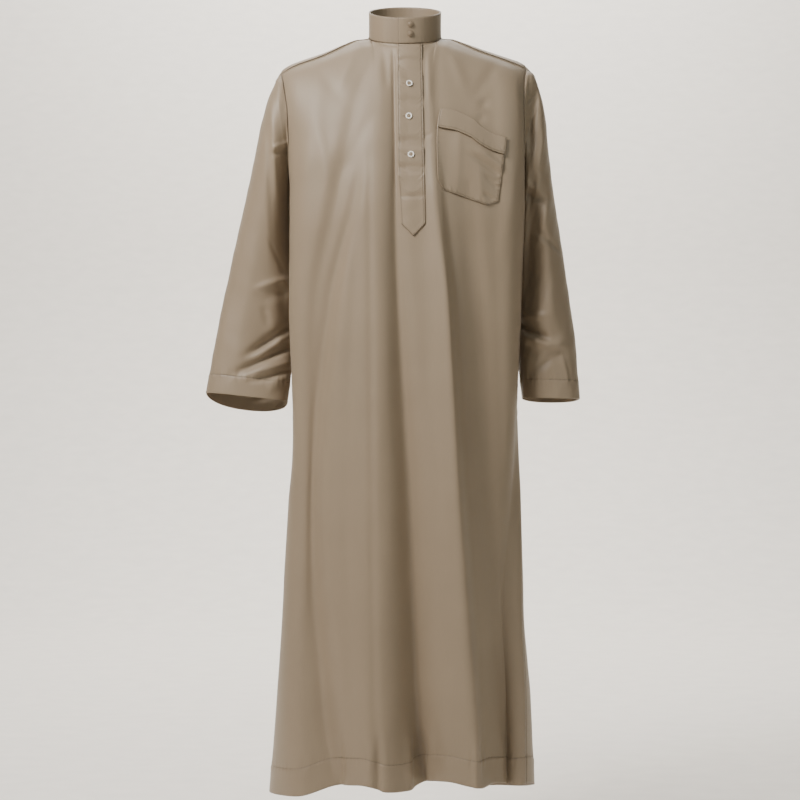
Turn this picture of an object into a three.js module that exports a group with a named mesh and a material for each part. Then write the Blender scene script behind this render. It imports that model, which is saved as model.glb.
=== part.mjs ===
// Long straight kurta of the thobe cut: band collar, half placket, tilted chest pocket, open cuffs
// and hem, standing as it hangs on its wearer. Millimetres, +Z up, the front faces -Y, and the
// wearer's right side is at -X. The origin lies between the two shoulder-neck points.
import * as THREE from 'three';

// ---- driving dimensions --------------------------------------------------------------------
const CLOTH = 1.6;            // wall of one layer of cloth
const STAND_CLOTH = 2.4;      // wall of the interfaced collar
const SEAM_GAP = 0.3;         // clearance between pieces at a seam
const UNDERARM_Z = -285;      // height where the side seams end in the armholes
const SEAM_DROP = { neck: 1.5, shoulder: 3.3 };  // roots of the drop from the crest to the forward seam
const FULL_DEPTH_ROOT = 18;   // root of the drop at which the body has its full depth

const NECK_HALF_WIDTH = 65;   // collar seam: an ellipse in a plane that rises to the back
const NECK_HALF_DEPTH = 66;
const NECK_CENTRE_Y = -3;
const NECK_SIDE_Z = 4;
const NECK_SLOPE = 0.36;
const NECK_SEAM_ANGLE = 80;   // where the shoulder seam meets the collar, from centre front

const COLLAR_HEIGHT = 45;
const COLLAR_BASE_GAP = 0.9;
const COLLAR_LEAN = -7;       // how far the top edge moves forward
const COLLAR_TOP_END = -11;   // angles of the two overlapping ends, from centre front
const COLLAR_UNDER_END = 24;
const COLLAR_STEP_IN = 3.2;   // how far the under end lies inside the top end
const COLLAR_STEP = { from: 322, to: 346 };     // angles between which it steps inside
const COLLAR_ROWS = 3;
const COLLAR_COLUMNS = 46;

const LAY_GAP = 0.7;          // clearance under what lies on the front

const PLACKET_BOTTOM_Z = -344;
const PLACKET_POINT_Z = -365;
const PLACKET_TOP = { right: -13, left: 29 };   // its ends under the collar
const COLLAR_CLEARANCE = 1.2; // from the collar's seam down to the placket's top
const SLIT_BOTTOM_Z = -290;
const UNDER_PLACKET_CLOTH = 1.4;
const UNDER_PLACKET = { pastSlit: 12, insetRight: 3, insetLeft: 4 };

const BUTTON_RADIUS = 5.8;
const BUTTON_THICK = 2.4;
const STUD_RADIUS = 5.4;
const STUD_THICK = 3.2;
const STUD_SINK = 0.6;        // how far the studs' backs stand off the collar
const TURNED_SIDES = 18;

const CLOTH_COLOUR = 0x9c8c74;
const BUTTON_COLOUR = 0xe6dfd0;
const STUD_COLOUR = 0x8f7f66;

// ---- tables --------------------------------------------------------------------------------
// Body sections. right and left: reach of the sides from the centre plane. front and back: depth
// of the cloth. power: 2 is an ellipse, more is squarer. tuck: how much the side behind the seam
// draws in beside the arm.
const BODY_SECTIONS = [
  { z: -40, right: 226, left: 219, front: 122, back: 118, power: 5.0, tuck: 0.0 },
  { z: -110, right: 221, left: 219, front: 124, back: 122, power: 4.2, tuck: 0.0 },
  { z: -200, right: 213, left: 217, front: 126, back: 122, power: 3.3, tuck: 0.04 },
  { z: -285, right: 213, left: 216, front: 128, back: 120, power: 2.8, tuck: 0.07 },
  { z: -470, right: 213, left: 214, front: 128, back: 117, power: 2.6, tuck: 0.07 },
  { z: -650, right: 208, left: 213, front: 128, back: 116, power: 2.5, tuck: 0.07 },
  { z: -740, right: 208, left: 212, front: 129, back: 119, power: 2.5, tuck: 0.05 },
  { z: -830, right: 212, left: 211, front: 131, back: 124, power: 2.4, tuck: 0.02 },
  { z: -1010, right: 219, left: 213, front: 134, back: 134, power: 2.35, tuck: 0.0 },
  { z: -1190, right: 231, left: 226, front: 138, back: 146, power: 2.3, tuck: 0.0 },
  { z: -1350, right: 243, left: 232, front: 142, back: 154, power: 2.3, tuck: 0.0 },
];

// Side seams, in degrees from centre front. They wander forward towards the hem.
const SIDE_SEAMS = [
  { z: -650, right: 90, left: 90 },
  { z: -740, right: 90, left: 88 },
  { z: -830, right: 90, left: 84 },
  { z: -1010, right: 90, left: 75 },
  { z: -1190, right: 88, left: 67 },
  { z: -1350, right: 86, left: 62 },
];

// Height of the shoulder crest against the distance from the centre plane, plus towards the
// wearer's left. The left shoulder is worn a little higher.
const SHOULDER_CREST = [
  { x: -226, front: -58, back: -58 },
  { x: -209, front: -47, back: -47 },
  { x: -193, front: -40, back: -40 },
  { x: -158, front: -28, back: -28 },
  { x: -104, front: -7, back: -7 },
  { x: -62, front: 9, back: 9 },
  { x: -40, front: 21, back: 42 },
  { x: 0, front: 34, back: 74 },
  { x: 40, front: 21, back: 42 },
  { x: 62, front: 9, back: 9 },
  { x: 104, front: -6, back: -6 },
  { x: 158, front: -24, back: -24 },
  { x: 193, front: -36, back: -36 },
  { x: 209, front: -42, back: -42 },
  { x: 226, front: -53, back: -53 },
];

// Share of the full depth reached, against the square root of the drop below the crest.
const SHOULDER_ROUND = [
  { root: 0, share: 0 },
  { root: 2, share: 0.155 },
  { root: 4, share: 0.31 },
  { root: 5.5, share: 0.44 },
  { root: 7.5, share: 0.57 },
  { root: 10, share: 0.71 },
  { root: 12.5, share: 0.84 },
  { root: 15, share: 0.94 },
  { root: 18, share: 0.999 },
  { root: 38, share: 1 },
];

// Armhole: angle from centre front (or centre back), from the underarm to the shoulder tip.
const ARMHOLE = [
  { along: 0, angle: 90 },
  { along: 0.12, angle: 77 },
  { along: 0.3, angle: 63 },
  { along: 0.55, angle: 56 },
  { along: 0.8, angle: 57 },
  { along: 1, angle: 61 },
];

// Heights of the stations in the fold and guide tables, from the neck to the hem.
const STATIONS = [0, -150, -290, -470, -830, -1190, -1335];

// Front folds: where each lies at every station, how far it stands out (minus is a trough), and
// how wide it is towards the wearer's right and left at the neck and at the hem.
const FRONT_FOLDS = [
  { name: 'right trough', x: [-60, -92, -118, -151, -171, -147, -121], out: [0, -2, -8, -13, -17, -19, -18],
    right: [14, 34], left: [16, 30] },
  { name: 'right swell', x: [-70, -60, -50, -47, -52, -50, -43], out: [0, 2, 4, 7, 12, 17, 22],
    right: [30, 46], left: [26, 40] },
  { name: 'centre trough', x: [-22, -22, -18, -14, 7, 21, 38], out: [-2, -4, -6, -10, -18, -30, -40],
    right: [12, 30], left: [16, 32] },
  { name: 'left crest', x: [48, 50, 58, 73, 95, 122, 136], out: [0, 0, 5, 15, 22, 26, 27],
    right: [22, 44], left: [10, 12] },
  { name: 'left set-back', x: [90, 92, 104, 122, 146, 172, 184], out: [0, 0, -7, -15, -20, -20, -17],
    right: [26, 32], left: [34, 44] },
  { name: 'left side swell', x: [165, 172, 178, 182, 186, 200, 208], out: [0, 3, 5, 5, 2, 2, 4],
    right: [14, 20], left: [16, 20] },
  { name: 'right side swell', x: [-150, -160, -182, -192, -198, -196, -190], out: [0, 2, 4, 4, 4, 6, 9],
    right: [20, 24], left: [18, 24] },
];

const BACK_FOLDS = [
  { name: 'right trough', x: [-70, -96, -118, -132, -142, -150, -150], out: [0, -3, -7, -11, -15, -19, -22],
    right: [18, 34], left: [18, 32] },
  { name: 'right ridge', x: [-40, -52, -62, -72, -84, -90, -94], out: [0, 2, 5, 8, 13, 19, 24],
    right: [18, 28], left: [22, 34] },
  { name: 'centre trough', x: [-6, -8, -8, -10, -14, -20, -24], out: [0, -4, -7, -10, -15, -22, -28],
    right: [20, 32], left: [22, 34] },
  { name: 'left ridge', x: [40, 44, 48, 54, 58, 60, 62], out: [0, 2, 4, 8, 14, 20, 25],
    right: [20, 32], left: [18, 26] },
  { name: 'left trough', x: [80, 92, 104, 112, 122, 130, 134], out: [0, -2, -6, -10, -15, -20, -23],
    right: [18, 28], left: [20, 34] },
];

// Front grid lines that stay on the folds, the slit and the collar's seam corners, right to left.
const FRONT_GUIDES = [
  { column: 6, x: [-84, -100, -118, -151, -171, -147, -121] },
  { column: 9, x: [-64, -74, -84, -97, -108, -98, -82] },
  { column: 12, x: [-36, -44, -50, -47, -52, -50, -43] },
  { column: 15, x: [-14, -17, -18, -14, 7, 21, 38] },
  { column: 17, x: [5.8, 8.2, 11.4, 24, 44, 64, 80] },
  { column: 18, x: [7.2, 9.6, 12.8, 30, 52, 74, 92] },
  { column: 19, x: [28, 31, 34, 52, 74, 99, 113] },
  { column: 21, x: [57.5, 54, 53, 68, 89, 116, 130] },
  { column: 22, x: [64, 62, 63, 76, 97, 124, 138] },
  { column: 24, x: [74, 75, 77, 92, 113, 140, 154] },
  { column: 27, x: [112, 116, 122, 134, 152, 176, 188] },
];
const FRONT_COLUMNS = 31;
const FRONT_NECK_COLUMNS = [9, 22];
const SLIT_COLUMN = 17;       // the grid column that is left open
const BACK_COLUMNS = 28;
const BACK_NECK_COLUMNS = [9, 19];
const LOWER_ROWS = 17;        // hem to underarm
const UPPER_ROWS = 11;        // underarm to shoulder
const NECK_SETTLE_FROM = 0.45;      // share of those rows where they start to follow the neck
const SPLIT_ROW = 15;         // where the chest solids meet the skirt solids

const SIDE_HEM_Z = -1340;     // where the columns' places along the hem are read
const NECK_READ_Z = -20;      // where the neck corners' places are read
const SHOULDER_START_Z = -80; // where the search for a shoulder point starts

// Hem height against the angle from centre front, plus towards the wearer's left. It lifts where
// the cloth folds, and the back hangs lower.
const HEM = [
  { angle: -180, z: -1370 },
  { angle: -130, z: -1364 },
  { angle: -88, z: -1350 },
  { angle: -46, z: -1336 },
  { angle: -28, z: -1318 },
  { angle: -15, z: -1309 },
  { angle: -8, z: -1318 },
  { angle: 2, z: -1321 },
  { angle: 14, z: -1309 },
  { angle: 20, z: -1306 },
  { angle: 28, z: -1311 },
  { angle: 40, z: -1318 },
  { angle: 53, z: -1326 },
  { angle: 62, z: -1324 },
  { angle: 90, z: -1340 },
  { angle: 130, z: -1364 },
  { angle: 180, z: -1370 },
];

// Sleeve rings from the armhole to the cuff. outer and inner: the two edges seen from the front,
// out from the centre plane and down; y: middle of the ring; depth: half its depth; lift: how
// much the front stands above the back; sag: how far both hang below the edges.
const SLEEVE_RIGHT = [
  { along: 0.07, outerX: 233, outerZ: -80, innerX: 206, innerZ: -293, y: 2, depth: 66, lift: 4, sag: 0 },
  { along: 0.14, outerX: 246, outerZ: -108, innerX: 207, innerZ: -304, y: 5, depth: 69, lift: 6, sag: 0 },
  { along: 0.25, outerX: 259, outerZ: -155, innerX: 207, innerZ: -326, y: 10, depth: 70, lift: 6, sag: 0 },
  { along: 0.4, outerX: 279, outerZ: -248, innerX: 206, innerZ: -376, y: 18, depth: 68, lift: 4, sag: 0 },
  { along: 0.55, outerX: 301, outerZ: -344, innerX: 205, innerZ: -434, y: 22, depth: 62, lift: 2, sag: 0 },
  { along: 0.7, outerX: 323, outerZ: -444, innerX: 204, innerZ: -498, y: 22, depth: 56, lift: 3, sag: 0 },
  { along: 0.85, outerX: 343, outerZ: -545, innerX: 204, innerZ: -574, y: 15, depth: 50, lift: 8, sag: 4 },
  { along: 1, outerX: 358, outerZ: -635, innerX: 212, innerZ: -650, y: 6, depth: 44, lift: 13, sag: 12 },
];
const SLEEVE_LEFT = [
  { along: 0.07, outerX: 233, outerZ: -67, innerX: 210, innerZ: -293, y: 2, depth: 66, lift: 4, sag: 0 },
  { along: 0.14, outerX: 243, outerZ: -97, innerX: 210, innerZ: -304, y: 5, depth: 69, lift: 6, sag: 0 },
  { along: 0.25, outerX: 253, outerZ: -145, innerX: 209, innerZ: -326, y: 10, depth: 70, lift: 6, sag: 0 },
  { along: 0.4, outerX: 264, outerZ: -244, innerX: 207, innerZ: -376, y: 20, depth: 68, lift: 4, sag: 0 },
  { along: 0.55, outerX: 280, outerZ: -344, innerX: 206, innerZ: -434, y: 28, depth: 64, lift: 2, sag: 0 },
  { along: 0.7, outerX: 296, outerZ: -448, innerX: 205, innerZ: -500, y: 32, depth: 60, lift: 2, sag: 0 },
  { along: 0.85, outerX: 310, outerZ: -552, innerX: 205, innerZ: -572, y: 28, depth: 55, lift: 3, sag: 1 },
  { along: 1, outerX: 316, outerZ: -646, innerX: 213, innerZ: -644, y: 22, depth: 50, lift: 4, sag: 4 },
];
const SLEEVE_POWER = 2.2;     // squareness of the rings
const SLEEVE_ROWS = 18;
const SLEEVE_ROW_CROWDING = 1.15;   // the rows stand closer near the armhole
const SLEEVE_COLUMNS = 22;    // twice UPPER_ROWS, so that they meet the armhole's edge points

// Sleeve creases. around: degrees from the outer edge, 90 is the front; along: armhole 0 to cuff
// 1; wide: half width in degrees and in share of length; slant: degrees gained over the length.
const CREASES_RIGHT = [
  { around: 128, along: 0.42, out: -9, wideAround: 26, wideAlong: 0.2, slant: 30 },
  { around: 150, along: 0.6, out: 8, wideAround: 30, wideAlong: 0.05, slant: 0 },
  { around: 118, along: 0.83, out: -8, wideAround: 34, wideAlong: 0.06, slant: 160 },
  { around: 60, along: 0.6, out: 5, wideAround: 30, wideAlong: 0.4, slant: -20 },
  { around: 250, along: 0.6, out: -6, wideAround: 30, wideAlong: 0.16, slant: 60 },
];
const CREASES_LEFT = [
  { around: 100, along: 0.3, out: -7, wideAround: 26, wideAlong: 0.07, slant: -120 },
  { around: 70, along: 0.4, out: -6, wideAround: 24, wideAlong: 0.06, slant: 120 },
  { around: 120, along: 0.52, out: -8, wideAround: 30, wideAlong: 0.14, slant: 60 },
  { around: 92, along: 0.74, out: 7, wideAround: 30, wideAlong: 0.07, slant: -60 },
  { around: 262, along: 0.55, out: -6, wideAround: 30, wideAlong: 0.16, slant: -60 },
];

// Placket edges from the collar down.
const PLACKET_EDGES = [
  { z: -18, right: -13.5, left: 29.5 },
  { z: -150, right: -12, left: 31.5 },
  { z: -290, right: -9.5, left: 33.8 },
  { z: -344, right: -6, left: 35 },
];
const PLACKET_ROWS = 22;
const POINT_FADE = 6;         // power with which the rows straighten above the point
const PLACKET_COLUMNS = 6;

const BUTTON_SPOTS = [
  { x: 7.2, z: -95.6 },
  { x: 7.2, z: -156 },
  { x: 10, z: -223 },
];
const STUD_SPOTS = [
  { angle: 8.5, rise: 33 },
  { angle: 8.5, rise: 17 },
];

// Chest pocket corners, on the front at the wearer's left; the pocket hangs tilted.
const POCKET = {
  topRight: { x: 63, z: -141 },
  topLeft: { x: 177, z: -190.5 },
  bottomRight: { x: 56, z: -281.5 },
  bottomLeft: { x: 160, z: -315 },
};
const POCKET_MOUTH = [           // how the mouth rises above the line between its corners
  { across: 0, rise: 0 },
  { across: 0.3, rise: 7.5 },
  { across: 0.47, rise: 6.5 },
  { across: 0.61, rise: -1 },
  { across: 0.76, rise: -3.5 },
  { across: 1, rise: 0 },
];
const POCKET_MOUTH_REACH = 0.5;  // share of the height over which the mouth's wave fades
const POCKET_SIDE_BOW = 6.5;     // how far the side towards the placket bows out
const POCKET_CORNER_CUT = { height: 0.1, right: 0.09, left: 0.16 };   // shares, lower corners
const POCKET_BAND_SHARE = 0.245; // height of the top band as a share of the pocket's
const POCKET_TOP = 0.03;         // where the pocket starts under its band
const POCKET_SWELL = 2.5;        // how far its middle stands out
const POCKET_OUT = LAY_GAP + 0.3 + CLOTH;
const BAND_OUT = 2 * (LAY_GAP + CLOTH);
const BAND_ROWS = 4;
const POCKET_ROWS = 12;
const POCKET_COLUMNS = 12;

// ---- small mathematics ---------------------------------------------------------------------
const DEG = Math.PI / 180;
const lerp = THREE.MathUtils.lerp;
const smooth = THREE.MathUtils.smoothstep;

// Smooth monotone curve through the values ys at the ascending places xs.
function curveThrough(xs, ys, x) {
  const last = xs.length - 1;
  if (x <= xs[0]) return ys[0];
  if (x >= xs[last]) return ys[last];
  let i = 0;
  while (x > xs[i + 1]) i += 1;
  const slope = (k) => (ys[k + 1] - ys[k]) / (xs[k + 1] - xs[k]);
  const tangent = (k) => {
    if (k === 0) return slope(0);
    if (k === last) return slope(last - 1);
    const before = slope(k - 1);
    const after = slope(k);
    return before * after <= 0 ? 0 : 2 * before * after / (before + after);
  };
  const span = xs[i + 1] - xs[i];
  const t = (x - xs[i]) / span;
  const t2 = t * t;
  const t3 = t2 * t;
  return (2 * t3 - 3 * t2 + 1) * ys[i] + (t3 - 2 * t2 + t) * span * tangent(i)
    + (3 * t2 - 2 * t3) * ys[i + 1] + (t3 - t2) * span * tangent(i + 1);
}

// A column of a table, read at the place `at` of its key column.
function fromTable(table, key, column, at) {
  const rows = table[0][key] < table[table.length - 1][key] ? table : [...table].reverse();
  return curveThrough(rows.map((row) => row[key]), rows.map((row) => row[column]), at);
}

function atStation(values, z) {
  return curveThrough([...STATIONS].reverse(), [...values].reverse(), z);
}

// Straight steps between guide values.
function alongGuides(guides, column) {
  let i = 0;
  while (i < guides.length - 2 && column > guides[i + 1].column) i += 1;
  const share = (column - guides[i].column) / (guides[i + 1].column - guides[i].column);
  return lerp(guides[i].value, guides[i + 1].value, share);
}

// ---- the body's surface --------------------------------------------------------------------
function section(z) {
  const read = (column) => fromTable(BODY_SECTIONS, 'z', column, z);
  return {
    right: read('right'),
    left: read('left'),
    front: read('front'),
    back: read('back'),
    power: read('power'),
    tuck: read('tuck'),
    seamRight: fromTable(SIDE_SEAMS, 'z', 'right', z),
    seamLeft: fromTable(SIDE_SEAMS, 'z', 'left', z),
  };
}

// Shares of width and depth at an angle from centre front, 0 to 180 degrees.
function squareRound(angle, power) {
  const across = Math.abs(Math.sin(angle * DEG));
  const deep = Math.abs(Math.cos(angle * DEG));
  const size = (across ** power + deep ** power) ** (1 / power);
  return { across: across / size, deep: deep / size };
}

// The angle from centre front at which the plain section passes x.
function angleAtX(x, z) {
  const body = section(z);
  const across = Math.min(0.999, Math.abs(x) / (x < 0 ? body.right : body.left));
  const deep = (1 - across ** body.power) ** (1 / body.power);
  return Math.sign(x) * Math.atan2(across, deep) / DEG;
}

function foldOut(folds, x, z) {
  const down = smooth(-z, 0, 1335);
  let out = 0;
  for (const fold of folds) {
    const away = x - atStation(fold.x, z);
    const side = away < 0 ? fold.right : fold.left;
    const width = lerp(side[0], side[1], down);
    out += atStation(fold.out, z) * Math.exp(-((away / width) ** 2));
  }
  return out;
}

// A point of the body at an angle from centre front (-180 to 180, plus is the wearer's left) and
// a height. root is the root of the drop below the shoulder crest; a minus root is a point that
// has passed over the crest to the front.
function bodyPoint(angle, z, root) {
  const body = section(z);
  const turn = Math.abs(angle);
  const isFront = turn <= 90;
  const { across, deep } = squareRound(turn, body.power);
  const reach = (angle < 0 ? body.right : body.left) * (1 - body.tuck * smooth(turn, 50, 105));
  const onFront = isFront || root < 0;
  const fullDepth = onFront ? body.front : body.back;
  const depth = fullDepth * fromTable(SHOULDER_ROUND, 'root', 'share', Math.abs(root));
  const x = Math.sign(angle) * reach * across;
  const seam = angle < 0 ? body.seamRight : body.seamLeft;
  const clearOfSeam = isFront ? smooth(seam - turn, 1, 16) : smooth(turn - seam, 1, 20);
  const belowShoulder = smooth(root, SEAM_DROP.shoulder + 0.5, 9);
  const out = clearOfSeam * belowShoulder * foldOut(isFront ? FRONT_FOLDS : BACK_FOLDS, x, z);
  const radial = smooth(across, 0.75, 0.98);
  const facing = onFront ? -1 : 1;
  return new THREE.Vector3(
    x + Math.sign(angle) * out * radial * across,
    facing * (depth * deep + out * lerp(1, deep, radial)),
    z,
  );
}

function crestAt(x, face) {
  return fromTable(SHOULDER_CREST, 'x', face, x);
}

// A point of the upper body, found from its drop below the shoulder crest.
function shoulderPoint(angle, root, face = Math.abs(angle) <= 90 ? 'front' : 'back') {
  let z = SHOULDER_START_Z;
  for (let turn = 0; turn < 6; turn += 1) {
    const body = section(z);
    const reach = Math.sign(angle) * (angle < 0 ? body.right : body.left);
    z = crestAt(reach * squareRound(Math.abs(angle), body.power).across, face) - root * root;
  }
  return bodyPoint(angle, z, root);
}

function rootAt(x, z, face) {
  return Math.sqrt(Math.max(0, crestAt(x, face) - z));
}

function neckPoint(angle) {
  const y = NECK_CENTRE_Y - NECK_HALF_DEPTH * Math.cos(angle * DEG);
  return new THREE.Vector3(NECK_HALF_WIDTH * Math.sin(angle * DEG), y, NECK_SIDE_Z + NECK_SLOPE * y);
}

function hemZ(angle) {
  return fromTable(HEM, 'angle', 'z', angle);
}

// ---- building shells -----------------------------------------------------------------------
// The surface's normal at a grid point, across the columns' way times up the rows.
function gridNormal(grid, r, c, closed = false) {
  const rows = grid.length;
  const columns = grid[0].length;
  const at = (row, column) => grid[THREE.MathUtils.clamp(row, 0, rows - 1)][
    closed ? (column + columns) % columns : THREE.MathUtils.clamp(column, 0, columns - 1)];
  const across = at(r, c + 1).clone().sub(at(r, c - 1));
  const up = at(r + 1, c).clone().sub(at(r - 1, c));
  return across.cross(up).normalize();
}

// A closed wall over a grid of outer points. closed joins the last column to the first, flipped
// turns the outward side over, skip leaves cells open, and normalAt may give a point's own normal,
// which pieces that meet at a seam share.
function shell(grid, options = {}) {
  const { wall = CLOTH, closed = false, flipped = false } = options;
  const { skip = () => false, normalAt = () => null } = options;
  const rows = grid.length;
  const columns = grid[0].length;
  const cellColumns = closed ? columns : columns - 1;
  const vertices = [];
  const faces = [];
  for (let r = 0; r < rows; r += 1) {
    for (let c = 0; c < columns; c += 1) {
      const normal = normalAt(r, c) ?? gridNormal(grid, r, c, closed).multiplyScalar(flipped ? -1 : 1);
      const outer = grid[r][c];
      const inner = outer.clone().addScaledVector(normal, -wall);
      vertices.push(outer.x, outer.y, outer.z, inner.x, inner.y, inner.z);
    }
  }
  const outerOf = (r, c) => 2 * (r * columns + (closed ? c % columns : c));
  const innerOf = (r, c) => outerOf(r, c) + 1;
  const quad = (a, b, c, d) => faces.push(...(flipped ? [a, c, b, a, d, c] : [a, b, c, a, c, d]));
  const isOpen = (r, c) => {
    const column = closed ? (c + cellColumns) % cellColumns : c;
    return r < 0 || r >= rows - 1 || column < 0 || column >= cellColumns || skip(r, column);
  };
  const rim = (r0, c0, r1, c1) => quad(outerOf(r1, c1), outerOf(r0, c0), innerOf(r0, c0), innerOf(r1, c1));
  for (let r = 0; r < rows - 1; r += 1) {
    for (let c = 0; c < cellColumns; c += 1) {
      if (isOpen(r, c)) continue;
      quad(outerOf(r, c), outerOf(r, c + 1), outerOf(r + 1, c + 1), outerOf(r + 1, c));
      quad(innerOf(r, c), innerOf(r + 1, c), innerOf(r + 1, c + 1), innerOf(r, c + 1));
      if (isOpen(r - 1, c)) rim(r, c, r, c + 1);
      if (isOpen(r, c + 1)) rim(r, c + 1, r + 1, c + 1);
      if (isOpen(r + 1, c)) rim(r + 1, c + 1, r + 1, c);
      if (isOpen(r, c - 1)) rim(r + 1, c, r, c);
    }
  }
  return compact(vertices, faces);
}

// A geometry with only the vertices that its faces use.
function compact(vertices, faces) {
  const renumbered = new Map();
  const positions = [];
  const index = faces.map((vertex) => {
    if (!renumbered.has(vertex)) {
      renumbered.set(vertex, renumbered.size);
      positions.push(...vertices.slice(3 * vertex, 3 * vertex + 3));
    }
    return renumbered.get(vertex);
  });
  const geometry = new THREE.BufferGeometry();
  geometry.setAttribute('position', new THREE.Float32BufferAttribute(positions, 3));
  geometry.setIndex(index);
  geometry.computeVertexNormals();
  return geometry;
}

// Draws a point back from its seam towards its neighbour.
function drawBack(point, neighbour, by) {
  point.addScaledVector(neighbour.clone().sub(point).normalize(), by);
}

function clearSeams(grid, { sides = false, top = false, first = false, by = 0.75 * SEAM_GAP } = {}) {
  const last = grid.length - 1;
  const end = grid[0].length - 1;
  if (sides) {
    for (const row of grid) {
      drawBack(row[0], row[1], by);
      drawBack(row[end], row[end - 1], by);
    }
  }
  if (top) grid[last].forEach((point, c) => drawBack(point, grid[last - 1][c], by));
  if (first) grid[0].forEach((point, c) => drawBack(point, grid[1][c], by));
  return grid;
}

// ---- front and back panels -----------------------------------------------------------------
// Angle of the armhole's edge at a share of its height.
function armholeAngle(share) {
  return fromTable(ARMHOLE, 'along', 'angle', share);
}

// A point below the underarm, at an angle from centre front, and its root below the crest.
function lowerRoot(angle, z, face) {
  return rootAt(bodyPoint(angle, z, FULL_DEPTH_ROOT).x, z, face);
}

function lowerPoint(angle, z, face) {
  return bodyPoint(angle, z, lowerRoot(angle, z, face));
}

// Root of the drop at the panel's upper edge: the collar seam between its corners, and the
// forward shoulder seam beyond them.
function upperEdge(face, neckAngle, seamShare) {
  if (neckAngle === undefined) {
    const drop = lerp(SEAM_DROP.neck, SEAM_DROP.shoulder, smooth(seamShare, 0, 0.4));
    return { root: face === 'front' ? drop : -drop };
  }
  const point = neckPoint(neckAngle);
  const body = section(point.z);
  const isBefore = point.y < 0;
  const share = Math.abs(point.y) / (isBefore ? body.front : body.back);
  const root = fromTable(SHOULDER_ROUND, 'share', 'root', share);
  return { root: face === 'back' && isBefore ? -root : root, point };
}

// Angle of the forward shoulder seam, from the collar (0) to the shoulder tip (1).
function seamAngle(share) {
  const cornerX = NECK_HALF_WIDTH * Math.sin(NECK_SEAM_ANGLE * DEG);
  return lerp(angleAtX(cornerX, NECK_READ_Z), armholeAngle(1), share);
}

// Grid rows above the underarm. below: the angle of each column at the underarm; top: the angle,
// and the collar seam point if the column ends there.
function upperRows(face, below, tops) {
  const rows = [];
  for (let r = 1; r <= UPPER_ROWS; r += 1) {
    const share = r / UPPER_ROWS;
    const edge = armholeAngle(share);
    const edgeTop = armholeAngle(1);
    const settle = smooth(share, NECK_SETTLE_FROM, 1);
    rows.push(below.map((start, c) => {
      const { angle, root, point, raw } = tops[c];
      const turned = lerp(start / 90, angle / edgeTop, share) * edge;
      const place = face === 'front' ? (angleNow) => angleNow : fromFront;
      const from = lowerRoot(place(start), UNDERARM_Z, face);
      const surface = shoulderPoint(place(turned), lerp(from, root, share), face);
      return point ? surface.add(point.clone().sub(raw).multiplyScalar(settle)) : surface;
    }));
  }
  return rows;
}

// The end of a column on the shoulder seam; side is -1 for the wearer's right.
function seamTop(face, side, share) {
  const angle = side * seamAngle(share);
  const { root } = upperEdge(face, undefined, share);
  return { angle, root };
}

// The end of a column on the collar seam.
function neckTop(face, angle, neckAngle) {
  const { root, point } = upperEdge(face, neckAngle);
  const raw = shoulderPoint(face === 'front' ? angle : fromFront(angle), root, face);
  return { angle, root, point, raw };
}

// Turns an angle from centre back into one from centre front, and the other way round.
function fromFront(angle) {
  return Math.sign(angle || 1) * (180 - Math.abs(angle));
}

function frontGuidesAt(z, edgeRight, edgeLeft) {
  const inner = FRONT_GUIDES.map((guide) => ({
    column: guide.column,
    value: angleAtX(atStation(guide.x, z), z),
  }));
  return [{ column: 0, value: -edgeRight }, ...inner, { column: FRONT_COLUMNS, value: edgeLeft }];
}

function frontGrid() {
  const columns = [...Array(FRONT_COLUMNS + 1).keys()];
  const angleAt = (column, z) => {
    const body = section(z);
    return alongGuides(frontGuidesAt(z, body.seamRight, body.seamLeft), column);
  };
  const lower = [...Array(LOWER_ROWS + 1).keys()].map((r) => columns.map((column) => {
    const hem = hemZ(angleAt(column, SIDE_HEM_Z));
    const z = lerp(hem, UNDERARM_Z, r / LOWER_ROWS);
    return lowerPoint(angleAt(column, z), z, 'front');
  }));
  const below = columns.map((column) => angleAt(column, UNDERARM_Z));
  const [neckFirst, neckLast] = FRONT_NECK_COLUMNS;
  const guides = FRONT_GUIDES.map((guide) => ({ column: guide.column, value: guide.x[0] }));
  const tops = columns.map((column) => {
    if (column < neckFirst) return seamTop('front', -1, 1 - column / neckFirst);
    if (column > neckLast) return seamTop('front', 1, (column - neckLast) / (FRONT_COLUMNS - neckLast));
    const x = alongGuides(guides, column);
    return neckTop('front', angleAtX(x, NECK_READ_Z), Math.asin(x / NECK_HALF_WIDTH) / DEG);
  });
  return [...lower, ...upperRows('front', below, tops)];
}

// Back columns run from the wearer's left side seam round to the right one. Their angles here
// are measured from centre back, plus towards the wearer's left.
function backGrid() {
  const columns = [...Array(BACK_COLUMNS + 1).keys()];
  const share = (column) => 1 - 2 * column / BACK_COLUMNS;
  const angleAt = (column, z) => {
    const body = section(z);
    const part = share(column);
    return part * (180 - (part > 0 ? body.seamLeft : body.seamRight));
  };
  const lower = [...Array(LOWER_ROWS + 1).keys()].map((r) => columns.map((column) => {
    const hem = hemZ(fromFront(angleAt(column, SIDE_HEM_Z)));
    const z = lerp(hem, UNDERARM_Z, r / LOWER_ROWS);
    return lowerPoint(fromFront(angleAt(column, z)), z, 'back');
  }));
  const below = columns.map((column) => angleAt(column, UNDERARM_Z));
  const [neckFirst, neckLast] = BACK_NECK_COLUMNS;
  const neckCorner = 180 - NECK_SEAM_ANGLE;
  const tops = columns.map((column) => {
    if (column < neckFirst) return seamTop('back', 1, 1 - column / neckFirst);
    if (column > neckLast) return seamTop('back', -1, (column - neckLast) / (BACK_COLUMNS - neckLast));
    const part = 1 - 2 * (column - neckFirst) / (neckLast - neckFirst);
    return neckTop('back', part * seamAngle(0), fromFront(part * neckCorner));
  });
  return [...lower, ...upperRows('back', below, tops)];
}

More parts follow.
